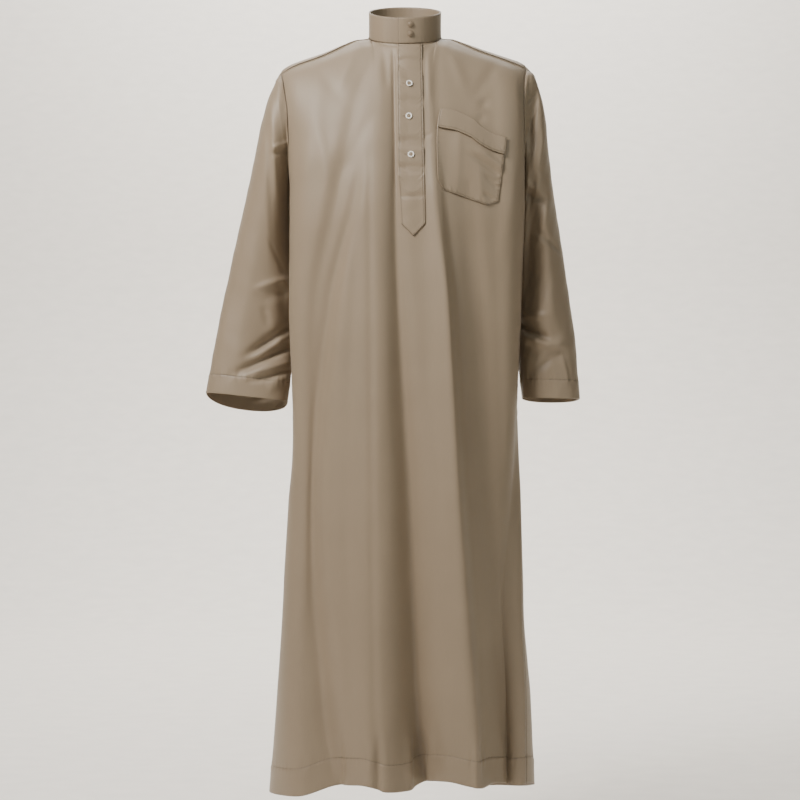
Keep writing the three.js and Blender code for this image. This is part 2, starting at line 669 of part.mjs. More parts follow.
const FRONT_GRID = frontGrid();
const BACK_GRID = backGrid();
const TOP_ROW = LOWER_ROWS + UPPER_ROWS;
const SKIRT = [0, SPLIT_ROW];
const CHEST = [SPLIT_ROW, TOP_ROW];

// The column of the other panel that meets a panel's grid point at a seam, or null.
function seamPartner(r, c, columns, otherColumns, neckColumns) {
  const isSide = r <= LOWER_ROWS && (c === 0 || c === columns);
  const isShoulder = r === TOP_ROW && (c <= neckColumns[0] || c >= neckColumns[1]);
  if (!isSide && !isShoulder) return null;
  return c <= neckColumns[0] ? otherColumns - c : columns - c;
}

// A panel's normals at its seams: the mean of its own and its neighbour's.
function sharedNormal(grid, other, neckColumns) {
  const columns = grid[0].length - 1;
  return (r, c) => {
    const partner = seamPartner(r, c, columns, other[0].length - 1, neckColumns);
    if (partner === null) return null;
    return gridNormal(grid, r, c).add(gridNormal(other, r, partner)).normalize();
  };
}

function withSeams(grid) {
  return clearSeams(grid.map((row) => row.map((point) => point.clone())), { sides: true, top: true });
}

// The part of a panel between two rows: each panel is two solids, chest and skirt, which meet
// face to face without a seam.
function panelPart(grid, other, neckColumns, [first, last], skipCell = () => false) {
  const shared = sharedNormal(grid, other, neckColumns);
  const part = withSeams(grid).slice(first, last + 1);
  clearSeams(part, { first: first > 0, top: last < TOP_ROW, by: SEAM_GAP / 2 });
  return shell(part, {
    skip: (r, c) => skipCell(r + first, c),
    normalAt: (r, c) => shared(r + first, c) ?? gridNormal(grid, r + first, c),
  });
}

function frontPanel(rows) {
  const isSlit = (r, c) => c === SLIT_COLUMN && r >= LOWER_ROWS;
  return panelPart(FRONT_GRID, BACK_GRID, FRONT_NECK_COLUMNS, rows, isSlit);
}

function backPanel(rows) {
  return panelPart(BACK_GRID, FRONT_GRID, BACK_NECK_COLUMNS, rows);
}

// ---- sleeves -------------------------------------------------------------------------------
// The armhole as a ring of the panels' own edge points: the shoulder tip first, then down the
// front to the underarm and up the back.
function armholeRing(side) {
  const read = (grid, column) => grid.slice(LOWER_ROWS).map((row, r) => ({
    point: row[column],
    normal: gridNormal(grid, LOWER_ROWS + r, column),
  }));
  const fronts = read(FRONT_GRID, side < 0 ? 0 : FRONT_COLUMNS);
  const backs = read(BACK_GRID, side < 0 ? BACK_COLUMNS : 0);
  return [...Array(SLEEVE_COLUMNS).keys()].map((c) => {
    const isFront = c <= UPPER_ROWS;
    const place = isFront ? UPPER_ROWS - c : c - UPPER_ROWS;
    const isShared = place === 0 || place === UPPER_ROWS;
    const normal = (isFront ? fronts : backs)[place].normal.clone();
    if (isShared) normal.add((isFront ? backs : fronts)[place].normal).normalize();
    return { point: (isFront ? fronts : backs)[place].point.clone(), normal };
  });
}

function sleeveRing(table, along, around, side) {
  const read = (column) => fromTable(table, 'along', column, along);
  const turn = around > 180 ? 360 - around : around;
  const { across, deep } = squareRound(turn, SLEEVE_POWER);
  const outward = turn <= 90 ? deep : -deep;
  const frontward = around <= 180 ? across : -across;
  const share = (1 + outward) / 2;
  return new THREE.Vector3(
    side * lerp(read('innerX'), read('outerX'), share),
    read('y') - frontward * read('depth'),
    lerp(read('innerZ'), read('outerZ'), share) + frontward * read('lift') - across * read('sag'),
  );
}

function creaseOut(creases, along, around) {
  let out = 0;
  for (const crease of creases) {
    const down = (along - crease.along) / crease.wideAlong;
    const centre = crease.around + crease.slant * (along - crease.along);
    const round = (around - centre) / crease.wideAround;
    out += crease.out * Math.exp(-(down * down) - round * round);
  }
  return out;
}

function sleeveGrid(side, table, creases) {
  const first = table[0].along;
  const grid = [armholeRing(side).map(({ point }) => point)];
  for (let r = 1; r <= SLEEVE_ROWS; r += 1) {
    const along = lerp(first, 1, ((r - 1) / (SLEEVE_ROWS - 1)) ** SLEEVE_ROW_CROWDING);
    grid.push([...Array(SLEEVE_COLUMNS).keys()].map((c) => {
      const around = 360 * c / SLEEVE_COLUMNS;
      const point = sleeveRing(table, along, around, side);
      const middle = sleeveRing(table, along, 90, side).lerp(sleeveRing(table, along, 270, side), 0.5);
      const outward = point.clone().sub(middle).normalize();
      return point.addScaledVector(outward, creaseOut(creases, along, around));
    }));
  }
  return clearSeams(grid, { first: true, by: SEAM_GAP });
}

function sleeve(side, table, creases) {
  const armhole = armholeRing(side);
  const grid = sleeveGrid(side, table, creases);
  // The sleeve's wall follows the body's at the armhole, but not in the sharp fold of the armpit.
  const normalAt = (r, c) => {
    if (r > 0) return null;
    const own = gridNormal(grid, 0, c, true).multiplyScalar(side < 0 ? -1 : 1);
    const shared = smooth(own.dot(armhole[c].normal), 0.1, 0.6);
    return own.lerp(armhole[c].normal, shared).normalize();
  };
  return shell(grid, { closed: true, flipped: side < 0, normalAt });
}

// ---- collar --------------------------------------------------------------------------------
// The band runs once round the neck from its top end, and its under end passes behind that.
function collarPoint(angle, rise, inward) {
  const base = neckPoint(angle);
  const centre = new THREE.Vector3(0, NECK_CENTRE_Y, base.z);
  const share = rise / COLLAR_HEIGHT;
  return base.add(centre.sub(base).normalize().multiplyScalar(inward))
    .add(new THREE.Vector3(0, COLLAR_LEAN * share, rise));
}

function collar() {
  const grid = [];
  for (let r = 0; r <= COLLAR_ROWS; r += 1) {
    grid.push([...Array(COLLAR_COLUMNS + 1).keys()].map((c) => {
      const angle = lerp(COLLAR_TOP_END, 360 + COLLAR_UNDER_END, c / COLLAR_COLUMNS);
      const inward = COLLAR_STEP_IN * smooth(angle, COLLAR_STEP.from, COLLAR_STEP.to);
      return collarPoint(angle, lerp(COLLAR_BASE_GAP, COLLAR_HEIGHT, r / COLLAR_ROWS), inward);
    }));
  }
  return shell(grid, { wall: STAND_CLOTH });
}

// ---- what lies on the front ---------------------------------------------------------------
// Depth of the flat triangle a, b, c at (x, z), or null outside it.
function depthInTriangle(a, b, c, x, z) {
  const area = (b.x - a.x) * (c.z - a.z) - (c.x - a.x) * (b.z - a.z);
  const shareB = ((x - a.x) * (c.z - a.z) - (c.x - a.x) * (z - a.z)) / area;
  const shareC = ((b.x - a.x) * (z - a.z) - (x - a.x) * (b.z - a.z)) / area;
  const shareA = 1 - shareB - shareC;
  const least = -1e-6;
  if (shareA < least || shareB < least || shareC < least) return null;
  return shareA * a.y + shareB * b.y + shareC * c.y;
}

// The front panel's own surface straight behind (x, z).
function frontPoint(x, z) {
  for (let r = 0; r < FRONT_GRID.length - 1; r += 1) {
    const [low, high] = [FRONT_GRID[r], FRONT_GRID[r + 1]];
    for (let c = 0; c < FRONT_COLUMNS; c += 1) {
      const y = depthInTriangle(low[c], low[c + 1], high[c + 1], x, z)
        ?? depthInTriangle(low[c], high[c + 1], high[c], x, z);
      if (y !== null) return new THREE.Vector3(x, y, z);
    }
  }
  throw new Error(`no front at ${x}, ${z}`);
}

function frontNormal(x, z) {
  const step = 5;
  const acrossX = frontPoint(x + step, z).sub(frontPoint(x - step, z));
  const upZ = frontPoint(x, z).sub(frontPoint(x, z - step));
  return acrossX.cross(upZ).normalize();
}

function onFront(x, z, out) {
  return frontPoint(x, z).addScaledVector(frontNormal(x, z), out);
}

// ---- placket -------------------------------------------------------------------------------
function placketGrid(bottom, insetRight, insetLeft, out, hasPoint) {
  const grid = [];
  for (let r = 0; r <= PLACKET_ROWS; r += 1) {
    grid.push([...Array(PLACKET_COLUMNS + 1).keys()].map((c) => {
      const share = c / PLACKET_COLUMNS;
      const drop = hasPoint ? (PLACKET_POINT_Z - PLACKET_BOTTOM_Z) * (1 - Math.abs(2 * share - 1)) : 0;
      const fade = (1 - r / PLACKET_ROWS) ** POINT_FADE;
      const edge = (key, z) => fromTable(PLACKET_EDGES, 'z', key, z);
      const topX = lerp(PLACKET_TOP.right, PLACKET_TOP.left, share);
      const plainTop = neckPoint(Math.asin(topX / NECK_HALF_WIDTH) / DEG).z - COLLAR_CLEARANCE;
      const z = lerp(bottom, plainTop, r / PLACKET_ROWS) + drop * fade;
      const x = lerp(edge('right', z) + insetRight, edge('left', z) - insetLeft, share);
      return onFront(x, z, out);
    }));
  }
  return grid;
}

function placket() {
  return shell(placketGrid(PLACKET_BOTTOM_Z, 0, 0, LAY_GAP + CLOTH, true), { wall: CLOTH });
}

function underPlacket() {
  const { pastSlit, insetRight, insetLeft } = UNDER_PLACKET;
  const grid = placketGrid(SLIT_BOTTOM_Z - pastSlit, insetRight, insetLeft, -CLOTH - 2 * LAY_GAP, false);
  return shell(grid, { wall: UNDER_PLACKET_CLOTH });
}

// ---- pocket --------------------------------------------------------------------------------
// A place on the pocket: across 0 to 1 from the wearer's right, down 0 to 1 from the mouth.
function pocketPlace(across, down) {
  const mix = (key) => lerp(
    lerp(POCKET.topRight[key], POCKET.topLeft[key], across),
    lerp(POCKET.bottomRight[key], POCKET.bottomLeft[key], across),
    down,
  );
  const rise = fromTable(POCKET_MOUTH, 'across', 'rise', across);
  const bow = POCKET_SIDE_BOW * Math.sin(Math.PI * down ** 0.6) * (1 - across) ** 2;
  return {
    x: mix('x') - bow,
    z: mix('z') + rise * (1 - smooth(down, 0.1, 0.1 + POCKET_MOUTH_REACH)),
  };
}

// Shares across at which the pocket's outline lies at a share of its height.
function pocketSides(down) {
  const { height, right, left } = POCKET_CORNER_CUT;
  const past = Math.max(0, down - (1 - height)) / height;
  return { right: right * past, left: 1 - left * past };
}

function pocketGrid(downFirst, downLast, rows, out) {
  const grid = [];
  for (let r = 0; r <= rows; r += 1) {
    const down = lerp(downLast, downFirst, r / rows);
    const { right, left } = pocketSides(down);
    grid.push([...Array(POCKET_COLUMNS + 1).keys()].map((c) => {
      const across = lerp(right, left, c / POCKET_COLUMNS);
      const { x, z } = pocketPlace(across, down);
      const swell = Math.sin(Math.PI * across) * Math.sin(Math.PI * Math.min(1, Math.max(0, down)));
      return onFront(x, z, out + POCKET_SWELL * swell);
    }));
  }
  return grid;
}

function pocket() {
  const grid = pocketGrid(POCKET_TOP, 1, POCKET_ROWS, POCKET_OUT);
  return shell(grid, { wall: CLOTH });
}

function pocketBand() {
  const grid = pocketGrid(0, POCKET_BAND_SHARE, BAND_ROWS, BAND_OUT);
  return shell(grid, { wall: CLOTH });
}

// ---- buttons -------------------------------------------------------------------------------
// A turned body on its axis: rings of radius and height from the back's middle to the front's.
function turned(profile) {
  const points = profile.map(({ radius, height }) => new THREE.Vector2(radius, height));
  return new THREE.LatheGeometry(points, TURNED_SIDES);
}

function buttonBody() {
  return turned([
    { radius: 0, height: 0 },
    { radius: BUTTON_RADIUS - 0.9, height: 0 },
    { radius: BUTTON_RADIUS, height: 0.9 },
    { radius: BUTTON_RADIUS - 0.4, height: BUTTON_THICK - 0.2 },
    { radius: BUTTON_RADIUS - 1.3, height: BUTTON_THICK },
    { radius: BUTTON_RADIUS - 2.3, height: BUTTON_THICK - 1.1 },
    { radius: 0, height: BUTTON_THICK - 1.2 },
  ]);
}

function studBody() {
  return turned([
    { radius: 0, height: 0 },
    { radius: STUD_RADIUS - 0.8, height: 0 },
    { radius: STUD_RADIUS, height: 0.8 },
    { radius: STUD_RADIUS - 1.2, height: STUD_THICK - 0.8 },
    { radius: STUD_RADIUS - 3, height: STUD_THICK - 0.1 },
    { radius: 0, height: STUD_THICK },
  ]);
}

// ---- the kurta -----------------------------------------------------------------------------
const cloth = new THREE.MeshStandardMaterial({ color: CLOTH_COLOUR, roughness: 0.55, metalness: 0 });
const pearl = new THREE.MeshStandardMaterial({ color: BUTTON_COLOUR, roughness: 0.3, metalness: 0 });
const covered = new THREE.MeshStandardMaterial({ color: STUD_COLOUR, roughness: 0.5, metalness: 0 });

const group = new THREE.Group();

function addPiece(name, geometry, material = cloth) {
  const mesh = new THREE.Mesh(geometry, material);
  mesh.name = name;
  group.add(mesh);
  return mesh;
}

// Stands a turned body on a surface point, its axis along the surface's normal.
function standOn(mesh, point, normal) {
  mesh.position.copy(point);
  mesh.quaternion.setFromUnitVectors(new THREE.Vector3(0, 1, 0), normal);
}

addPiece('front_chest', frontPanel(CHEST));
addPiece('front_skirt', frontPanel(SKIRT));
addPiece('back_chest', backPanel(CHEST));
addPiece('back_skirt', backPanel(SKIRT));
addPiece('sleeve_right', sleeve(-1, SLEEVE_RIGHT, CREASES_RIGHT));
addPiece('sleeve_left', sleeve(1, SLEEVE_LEFT, CREASES_LEFT));
addPiece('collar', collar());
addPiece('placket', placket());
addPiece('under_placket', underPlacket());
addPiece('chest_pocket', pocket());
addPiece('pocket_band', pocketBand());

BUTTON_SPOTS.forEach(({ x, z }, i) => {
  const button = addPiece(`button_${i + 1}`, buttonBody(), pearl);
  standOn(button, onFront(x, z, 2 * LAY_GAP + CLOTH), frontNormal(x, z));
});

STUD_SPOTS.forEach(({ angle, rise }, i) => {
  const stud = addPiece(`collar_stud_${i + 1}`, studBody(), covered);
  const across = collarPoint(angle + 2, rise, 0).sub(collarPoint(angle - 2, rise, 0));
  const up = collarPoint(angle, rise + 2, 0).sub(collarPoint(angle, rise - 2, 0));
  const normal = across.cross(up).normalize();
  standOn(stud, collarPoint(angle, rise, 0).addScaledVector(normal, STUD_SINK), normal);
});

export default group;
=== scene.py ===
"""Long straight kurta of the thobe cut, dressed in satin-faced polyester.

Each piece is a thin shell on the same surface as its solid, worked out again here from the same
tables at a finer pitch, with the sewing and the small creases added. The scene is in metres; the
tables are in millimetres and degrees. +Z is up, the front faces -Y, and the wearer's right side
is at -X.
"""
import math
from collections import namedtuple
from functools import lru_cache

import bpy
import numpy as np
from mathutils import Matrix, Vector
from mathutils.bvhtree import BVHTree


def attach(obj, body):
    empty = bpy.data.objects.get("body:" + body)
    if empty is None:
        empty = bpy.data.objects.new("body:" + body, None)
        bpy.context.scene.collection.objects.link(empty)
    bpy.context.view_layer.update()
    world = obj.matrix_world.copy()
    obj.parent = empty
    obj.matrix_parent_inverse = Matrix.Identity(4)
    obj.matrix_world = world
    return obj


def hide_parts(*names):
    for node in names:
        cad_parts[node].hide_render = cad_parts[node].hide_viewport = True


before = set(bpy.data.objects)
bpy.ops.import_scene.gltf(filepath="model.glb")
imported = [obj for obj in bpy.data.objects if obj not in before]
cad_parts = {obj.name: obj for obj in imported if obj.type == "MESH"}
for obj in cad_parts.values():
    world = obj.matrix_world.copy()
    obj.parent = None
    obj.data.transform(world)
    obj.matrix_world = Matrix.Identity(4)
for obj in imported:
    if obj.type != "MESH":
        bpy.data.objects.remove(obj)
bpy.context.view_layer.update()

bl_info = {
    "name": "Kurta",
    "version": (1, 0, 0),
    "blender": (4, 5, 0),
    "location": "3D View > Sidebar > Kurta",
    "description": "Builds a long straight kurta piece by piece, with its sewing and studio",
    "category": "Add Mesh",
}

# ---- driving dimensions ---------------------------------------------------------------------
MM = 0.001
UNDERARM_Z = -0.285
TUCK_ANGLES = (50, 105)
FRONT_CLEAR = (1, 16)           # degrees from the side seams over which the folds come in
BACK_CLEAR = (1, 20)
RADIAL_FOLDS = (0.75, 0.98)     # shares of the width over which folds turn to stand outward
SEAM_DROP_NECK = 1.5            # roots of the drop, in millimetres, from the crest to the seam
SEAM_DROP_SHOULDER = 3.3
FOLDS_FULL_ROOT = 9
FULL_DEPTH_ROOT = 18
NECK_HALF_WIDTH = 0.065
NECK_HALF_DEPTH = 0.066
NECK_CENTRE_Y = -0.003
NECK_SIDE_Z = 0.004
NECK_SLOPE = 0.36
NECK_SEAM_ANGLE = 80
NECK_BASE_Z = -0.020            # height at which angles round the neck are read
COLLAR_FOOT = -0.0006
COLLAR_HEIGHT = 0.045
COLLAR_LEAN = -0.007
COLLAR_TOP_END = -11
COLLAR_UNDER_END = 24
COLLAR_STEP_IN = 0.0032
COLLAR_STEP_ANGLES = (322, 346)
STAND_CLOTH = 0.0024
LAID_CLOTH = 0.0013
LAY_GAP = 0.0007
PLACKET_TOP = (-0.013, 0.029)
PLACKET_BOTTOM_Z = -0.344
PLACKET_POINT_Z = -0.365
PLACKET_LIFT = 0.0036           # the free edge over the slit stands off the front
CROSS_STITCH_ROWS = (-0.2917, -0.2972)
SLIT_BOTTOM_Z = -0.290
UNDER_PLACKET_PAST = 0.012
UNDER_PLACKET_INSET = (0.003, 0.004)
UNDER_PLACKET_OUT = -0.0022
SIDE_HEM_Z = -1.340
HEM_TURN = 0.047                # turned-up hems, and the lines of stitching that hold them
CUFF_TURN = 0.034
TURN_EDGE = 0.003
HEM_STEP = 0.0010
CUFF_STEP = 0.0006
POCKET_SLOT = (-0.684, -0.522)  # heights of the side-seam pocket openings
SLOT_FADE = 0.02
EDGE_CLEAR = (0.004, 0.030)     # lengths from the edges over which the dents come in
STITCH_INSET = 0.003
STITCH_LIFT = 0.0001

# The solids' grids, and how many columns of the mesh stand for one of theirs.
FRONT_COLUMNS = 31
FRONT_NECK = (9, 22)
FRONT_FINE = 6
SLIT_COLUMN = 17
BACK_COLUMNS = 28
BACK_NECK = (9, 19)
BACK_FINE = 5
LOWER_ROWS = 17
UPPER_ROWS = 11

# ---- tables ---------------------------------------------------------------------------------
# Body sections, as in the solids: reach of the sides, depth of the cloth, squareness, and how
# much the back of the side is tucked in beside the arm.
Section = namedtuple("Section", "z right left front back power tuck")
Seam = namedtuple("Seam", "z right_angle left_angle")
Crest = namedtuple("Crest", "x front back")
Round = namedtuple("Round", "root share")
Armhole = namedtuple("Armhole", "along angle")
Fold = namedtuple("Fold", "name x out right left")
Guide = namedtuple("Guide", "column x")
Hem = namedtuple("Hem", "angle z")
Ring = namedtuple("Ring", "along outer_x outer_z inner_x inner_z y depth lift sag")
SleeveCrease = namedtuple("SleeveCrease", "around along out wide_around wide_along slant")
Edge = namedtuple("Edge", "z right left")
Spot = namedtuple("Spot", "x z")
Mouth = namedtuple("Mouth", "across rise")
Dent = namedtuple("Dent", "x0 z0 x1 z1 wide out")
Pucker = namedtuple("Pucker", "reach wave out")
Wave = namedtuple("Wave", "out lean length")
SeamEdge = namedtuple("SeamEdge", "out down wide taper")
Turn = namedtuple("Turn", "radius height")
NOT_LENGTHS = {"power", "tuck", "right_angle", "left_angle", "root", "share", "along", "angle", "name",
               "column", "around", "wide_around", "wide_along", "slant", "across"}


def in_metres(kind, *rows):
    """Rows of one kind, with the columns that are lengths turned into metres."""
    return [kind(*(value if name in NOT_LENGTHS else np.multiply(value, MM)
                   for name, value in zip(kind._fields, row))) for row in rows]


BODY_SECTIONS = in_metres(
    Section,
    (-40, 226, 219, 122, 118, 5, 0), (-110, 221, 219, 124, 122, 4.2, 0),
    (-200, 213, 217, 126, 122, 3.3, 0.04), (-285, 213, 216, 128, 120, 2.8, 0.07),
    (-470, 213, 214, 128, 117, 2.6, 0.07), (-650, 208, 213, 128, 116, 2.5, 0.07),
    (-740, 208, 212, 129, 119, 2.5, 0.05), (-830, 212, 211, 131, 124, 2.4, 0.02),
    (-1010, 219, 213, 134, 134, 2.35, 0), (-1190, 231, 226, 138, 146, 2.3, 0),
    (-1350, 243, 232, 142, 154, 2.3, 0),
)
SIDE_SEAMS = in_metres(
    Seam,
    (-650, 90, 90), (-740, 90, 88), (-830, 90, 84), (-1010, 90, 75), (-1190, 88, 67),
    (-1350, 86, 62),
)
SHOULDER_CREST = in_metres(
    Crest,
    (-226, -58, -58), (-209, -47, -47), (-193, -40, -40), (-158, -28, -28), (-104, -7, -7),
    (-62, 9, 9), (-40, 21, 42), (0, 34, 74), (40, 21, 42), (62, 9, 9), (104, -6, -6),
    (158, -24, -24), (193, -36, -36), (209, -42, -42), (226, -53, -53),
)
SHOULDER_ROUND = in_metres(
    Round,
    (0, 0), (2, 0.155), (4, 0.31), (5.5, 0.44), (7.5, 0.57), (10, 0.71), (12.5, 0.84), (15, 0.94),
    (18, 0.999), (38, 1),
)
ARMHOLE = in_metres(
    Armhole,
    (0, 90), (0.12, 77), (0.3, 63), (0.55, 56), (0.8, 57), (1, 61),
)
# Folds run down through the stations: where each one stands, how far out it reaches, and its
# width to the wearer's right and left, at the shoulder and at the hem.
STATIONS = [0, -0.15, -0.29, -0.47, -0.83, -1.19, -1.335]
FRONT_FOLDS = in_metres(
    Fold,
    ("right trough", [-60, -92, -118, -151, -171, -147, -121],
     [0, -2, -8, -13, -17, -19, -18], [14, 34], [16, 30]),
    ("right swell", [-70, -60, -50, -47, -52, -50, -43], [0, 2, 4, 7, 12, 17, 22], [30, 46], [26, 40]),
    ("centre trough", [-22, -22, -18, -14, 7, 21, 38],
     [-2, -4, -6, -10, -18, -30, -40], [12, 30], [16, 32]),
    ("left crest", [48, 50, 58, 73, 95, 122, 136], [0, 0, 5, 15, 22, 26, 27], [22, 44], [10, 12]),
    ("left set-back", [90, 92, 104, 122, 146, 172, 184],
     [0, 0, -7, -15, -20, -20, -17], [26, 32], [34, 44]),
    ("left side swell", [165, 172, 178, 182, 186, 200, 208], [0, 3, 5, 5, 2, 2, 4], [14, 20], [16, 20]),
    ("right side swell", [-150, -160, -182, -192, -198, -196, -190],
     [0, 2, 4, 4, 4, 6, 9], [20, 24], [18, 24]),
    # Finer folds than the solids have.
    ("faint crease", [-62, -62, -62, -60, -57, -52, -47], [0, 0, -1, -1.8, -2, -2.2, -1.5], [6, 9], [6, 8]),
    ("right trough's line", [-58, -66, -88, -128, -160, -138, -112],
     [0, 0, -4.5, -14, -13, -9, -6], [14, 15], [12, 16]),
    ("centre trough's line", [-20, -20, -18, -12, 8, 22, 39],
     [-1, -2.2, -3, -3.5, -4, -5, -5], [6, 10], [6, 9]),
    ("left crest's edge", [44, 48, 53, 71.5, 92.5, 120, 134], [0, 1, 2.5, 3.5, 4, 4, 4], [10, 18], [4, 6]),
    ("left crest's foot", [58, 60, 66, 84.5, 107, 135, 149],
     [0, -0.5, -1.5, -3, -4, -4, -4], [5, 7], [10, 14]),
    ("ridge beside the placket", [43, 44, 47, 54, 70, 90, 105],
     [0.4, 0.8, 0.8, 0.6, 1, 0, 0], [7, 10], [7, 8]),
    ("ridge on the left", [186, 194, 196, 198, 196, 204, 210], [0, 7, 10, 6, 2, 0, 0], [24, 26], [12, 14]),
    ("left side's fall", [185, 190, 190, 190, 192, 200, 205],
     [0, 0, 0, -4, -15, -26, -28], [50, 56], [30, 40]),
    ("centre trough's wall", [-26, -24, -20, -14, 2, 16, 33],
     [0, 0, 0, -1, -5, -8, -9], [10, 13], [12, 18]),
    ("set-back's fold", [112, 118, 130, 146, 166, 190, 200], [0, 0, 1, 2, 3, 3, 3], [8, 10], [10, 12]),
    ("swell's hollow", [-90, -86, -84, -90, -100, -92, -80],
     [0, 0, -0.8, -1.2, -1.5, -2, -2], [10, 14], [8, 12]),
)
BACK_FOLDS = in_metres(
    Fold,
    ("right trough", [-70, -96, -118, -132, -142, -150, -150],
     [0, -3, -7, -11, -15, -19, -22], [18, 34], [18, 32]),
    ("right ridge", [-40, -52, -62, -72, -84, -90, -94], [0, 2, 5, 8, 13, 19, 24], [18, 28], [22, 34]),
    ("centre trough", [-6, -8, -8, -10, -14, -20, -24],
     [0, -4, -7, -10, -15, -22, -28], [20, 32], [22, 34]),
    ("left ridge", [40, 44, 48, 54, 58, 60, 62], [0, 2, 4, 8, 14, 20, 25], [20, 32], [18, 26]),
    ("left trough", [80, 92, 104, 112, 122, 130, 134], [0, -2, -6, -10, -15, -20, -23], [18, 28], [20, 34]),
    # Finer folds than the solids have.
    ("right line", [-72, -98, -118, -131, -141, -149, -149], [0, -1, -2, -3, -3, -3, -3], [7, 10], [7, 10]),
    ("centre line", [-7, -9, -9, -11, -15, -21, -25], [0, -1, -2, -3, -3, -4, -4], [6, 10], [7, 10]),
    ("left line", [82, 93, 105, 113, 123, 131, 135], [0, -1, -2, -2, -3, -3, -3], [7, 10], [7, 9]),
    ("soft fold", [16, 18, 20, 24, 22, 20, 18], [0, 0, 1, 1.5, 2, 2, 2], [8, 11], [7, 10]),
)
FRONT_GUIDES = in_metres(
    Guide,
    (6, [-84, -100, -118, -151, -171, -147, -121]), (9, [-64, -74, -84, -97, -108, -98, -82]),
    (12, [-36, -44, -50, -47, -52, -50, -43]), (15, [-14, -17, -18, -14, 7, 21, 38]),
    (17, [5.8, 8.2, 11.4, 24, 44, 64, 80]), (18, [7.2, 9.6, 12.8, 30, 52, 74, 92]),
    (19, [28, 31, 34, 52, 74, 99, 113]), (21, [57.5, 54, 53, 68, 89, 116, 130]),
    (22, [64, 62, 63, 76, 97, 124, 138]), (24, [74, 75, 77, 92, 113, 140, 154]),
    (27, [112, 116, 122, 134, 152, 176, 188]),
)
HEM = in_metres(
    Hem,
    (-180, -1370), (-130, -1364), (-88, -1350), (-46, -1336), (-28, -1318), (-15, -1309),
    (-8, -1318), (2, -1321), (14, -1309), (20, -1306), (28, -1311), (40, -1318), (53, -1326),
    (62, -1324), (90, -1340), (130, -1364), (180, -1370),
)
SLEEVE_RIGHT = in_metres(
    Ring,
    (0.07, 233, -80, 206, -293, 2, 66, 4, 0), (0.14, 246, -108, 207, -304, 5, 69, 6, 0),
    (0.25, 259, -155, 207, -326, 10, 70, 6, 0), (0.4, 279, -248, 206, -376, 18, 68, 4, 0),
    (0.55, 301, -344, 205, -434, 22, 62, 2, 0), (0.7, 323, -444, 204, -498, 22, 56, 3, 0),
    (0.85, 343, -545, 204, -574, 15, 50, 8, 4), (1, 358, -635, 212, -650, 6, 44, 13, 12),
)
SLEEVE_LEFT = in_metres(
    Ring,
    (0.07, 233, -67, 210, -293, 2, 66, 4, 0), (0.14, 243, -97, 210, -304, 5, 69, 6, 0),
    (0.25, 253, -145, 209, -326, 10, 70, 6, 0), (0.4, 264, -244, 207, -376, 20, 68, 4, 0),
    (0.55, 280, -344, 206, -434, 28, 64, 2, 0), (0.7, 296, -448, 205, -500, 32, 60, 2, 0),
    (0.85, 310, -552, 205, -572, 28, 55, 3, 1), (1, 316, -646, 213, -644, 22, 50, 4, 4),
)
SLEEVE_POWER = 2.2
CREASES_RIGHT = in_metres(
    SleeveCrease,
    (128, 0.42, -9, 26, 0.2, 30), (150, 0.6, 8, 30, 0.05, 0), (118, 0.83, -8, 34, 0.06, 160),
    (60, 0.6, 5, 30, 0.4, -20), (250, 0.6, -6, 30, 0.16, 60),
    # Finer creases than the solids have.
    (60, 0.72, -2.2, 9, 0.2, -20), (238, 0.45, -3.4, 14, 0.1, 80), (272, 0.7, 3.2, 14, 0.12, -60),
)
CREASES_LEFT = in_metres(
    SleeveCrease,
    (100, 0.3, -7, 26, 0.07, -120), (70, 0.4, -6, 24, 0.06, 120), (120, 0.52, -8, 30, 0.14, 60),
    (92, 0.74, 7, 30, 0.07, -60), (262, 0.55, -6, 30, 0.16, -60),
    # Finer creases than the solids have.
    (78, 0.84, -2, 9, 0.1, -60), (244, 0.5, -3.4, 14, 0.1, 70), (276, 0.72, 3, 14, 0.12, -60),
)
PLACKET_EDGES = in_metres(
    Edge,
    (-18, -13.5, 29.5), (-150, -12, 31.5), (-290, -9.5, 33.8), (-344, -6, 35),
)
BUTTON_SPOTS = in_metres(
    Spot,
    (7.2, -95.6), (7.2, -156), (10, -223),
)
# The chest pocket's corners: top right, top left, bottom right and bottom left.
POCKET_CORNERS = in_metres(
    Spot,
    (63, -141), (177, -190.5), (56, -281.5), (160, -315),
)
POCKET_MOUTH = in_metres(
    Mouth,
    (0, 0), (0.3, 7.5), (0.47, 6.5), (0.61, -1), (0.76, -3.5), (1, 0),
)
POCKET_MOUTH_REACH = 0.5        # shares of the pocket's height and width, and lengths
POCKET_SIDE_BOW = 0.0065
POCKET_CUT_HEIGHT = 0.1
POCKET_CUT_RIGHT = 0.09
POCKET_CUT_LEFT = 0.16
POCKET_BAND_SHARE = 0.245
POCKET_TOP_SHARE = 0.03
POCKET_SIZE = (0.12, 0.13)
POCKET_SWELL = 0.0025
BAND_LIFT = 0.0017
STUD_ANGLE = 8.5
STUD_RISES = (0.033, 0.017)
STUD_LIFT = 0.0003
BUTTON_PROFILE = in_metres(
    Turn,
    (0.1, 0), (4.9, 0), (5.8, 0.9), (5.5, 2.1), (4.7, 2.4), (3.9, 2), (3.3, 1.2),
)
BUTTON_CENTRE_PROFILE = in_metres(
    Turn,
    (3.4, 1.1), (1.4, 1.3), (0.1, 1.6),
)
STUD_PROFILE = in_metres(
    Turn,
    (0.1, 0), (4.6, 0), (5.4, 0.8), (5, 1.6), (4.2, 2.3), (3.6, 2), (2.8, 2.8), (1.6, 3.15), (0.1, 3.2),
)

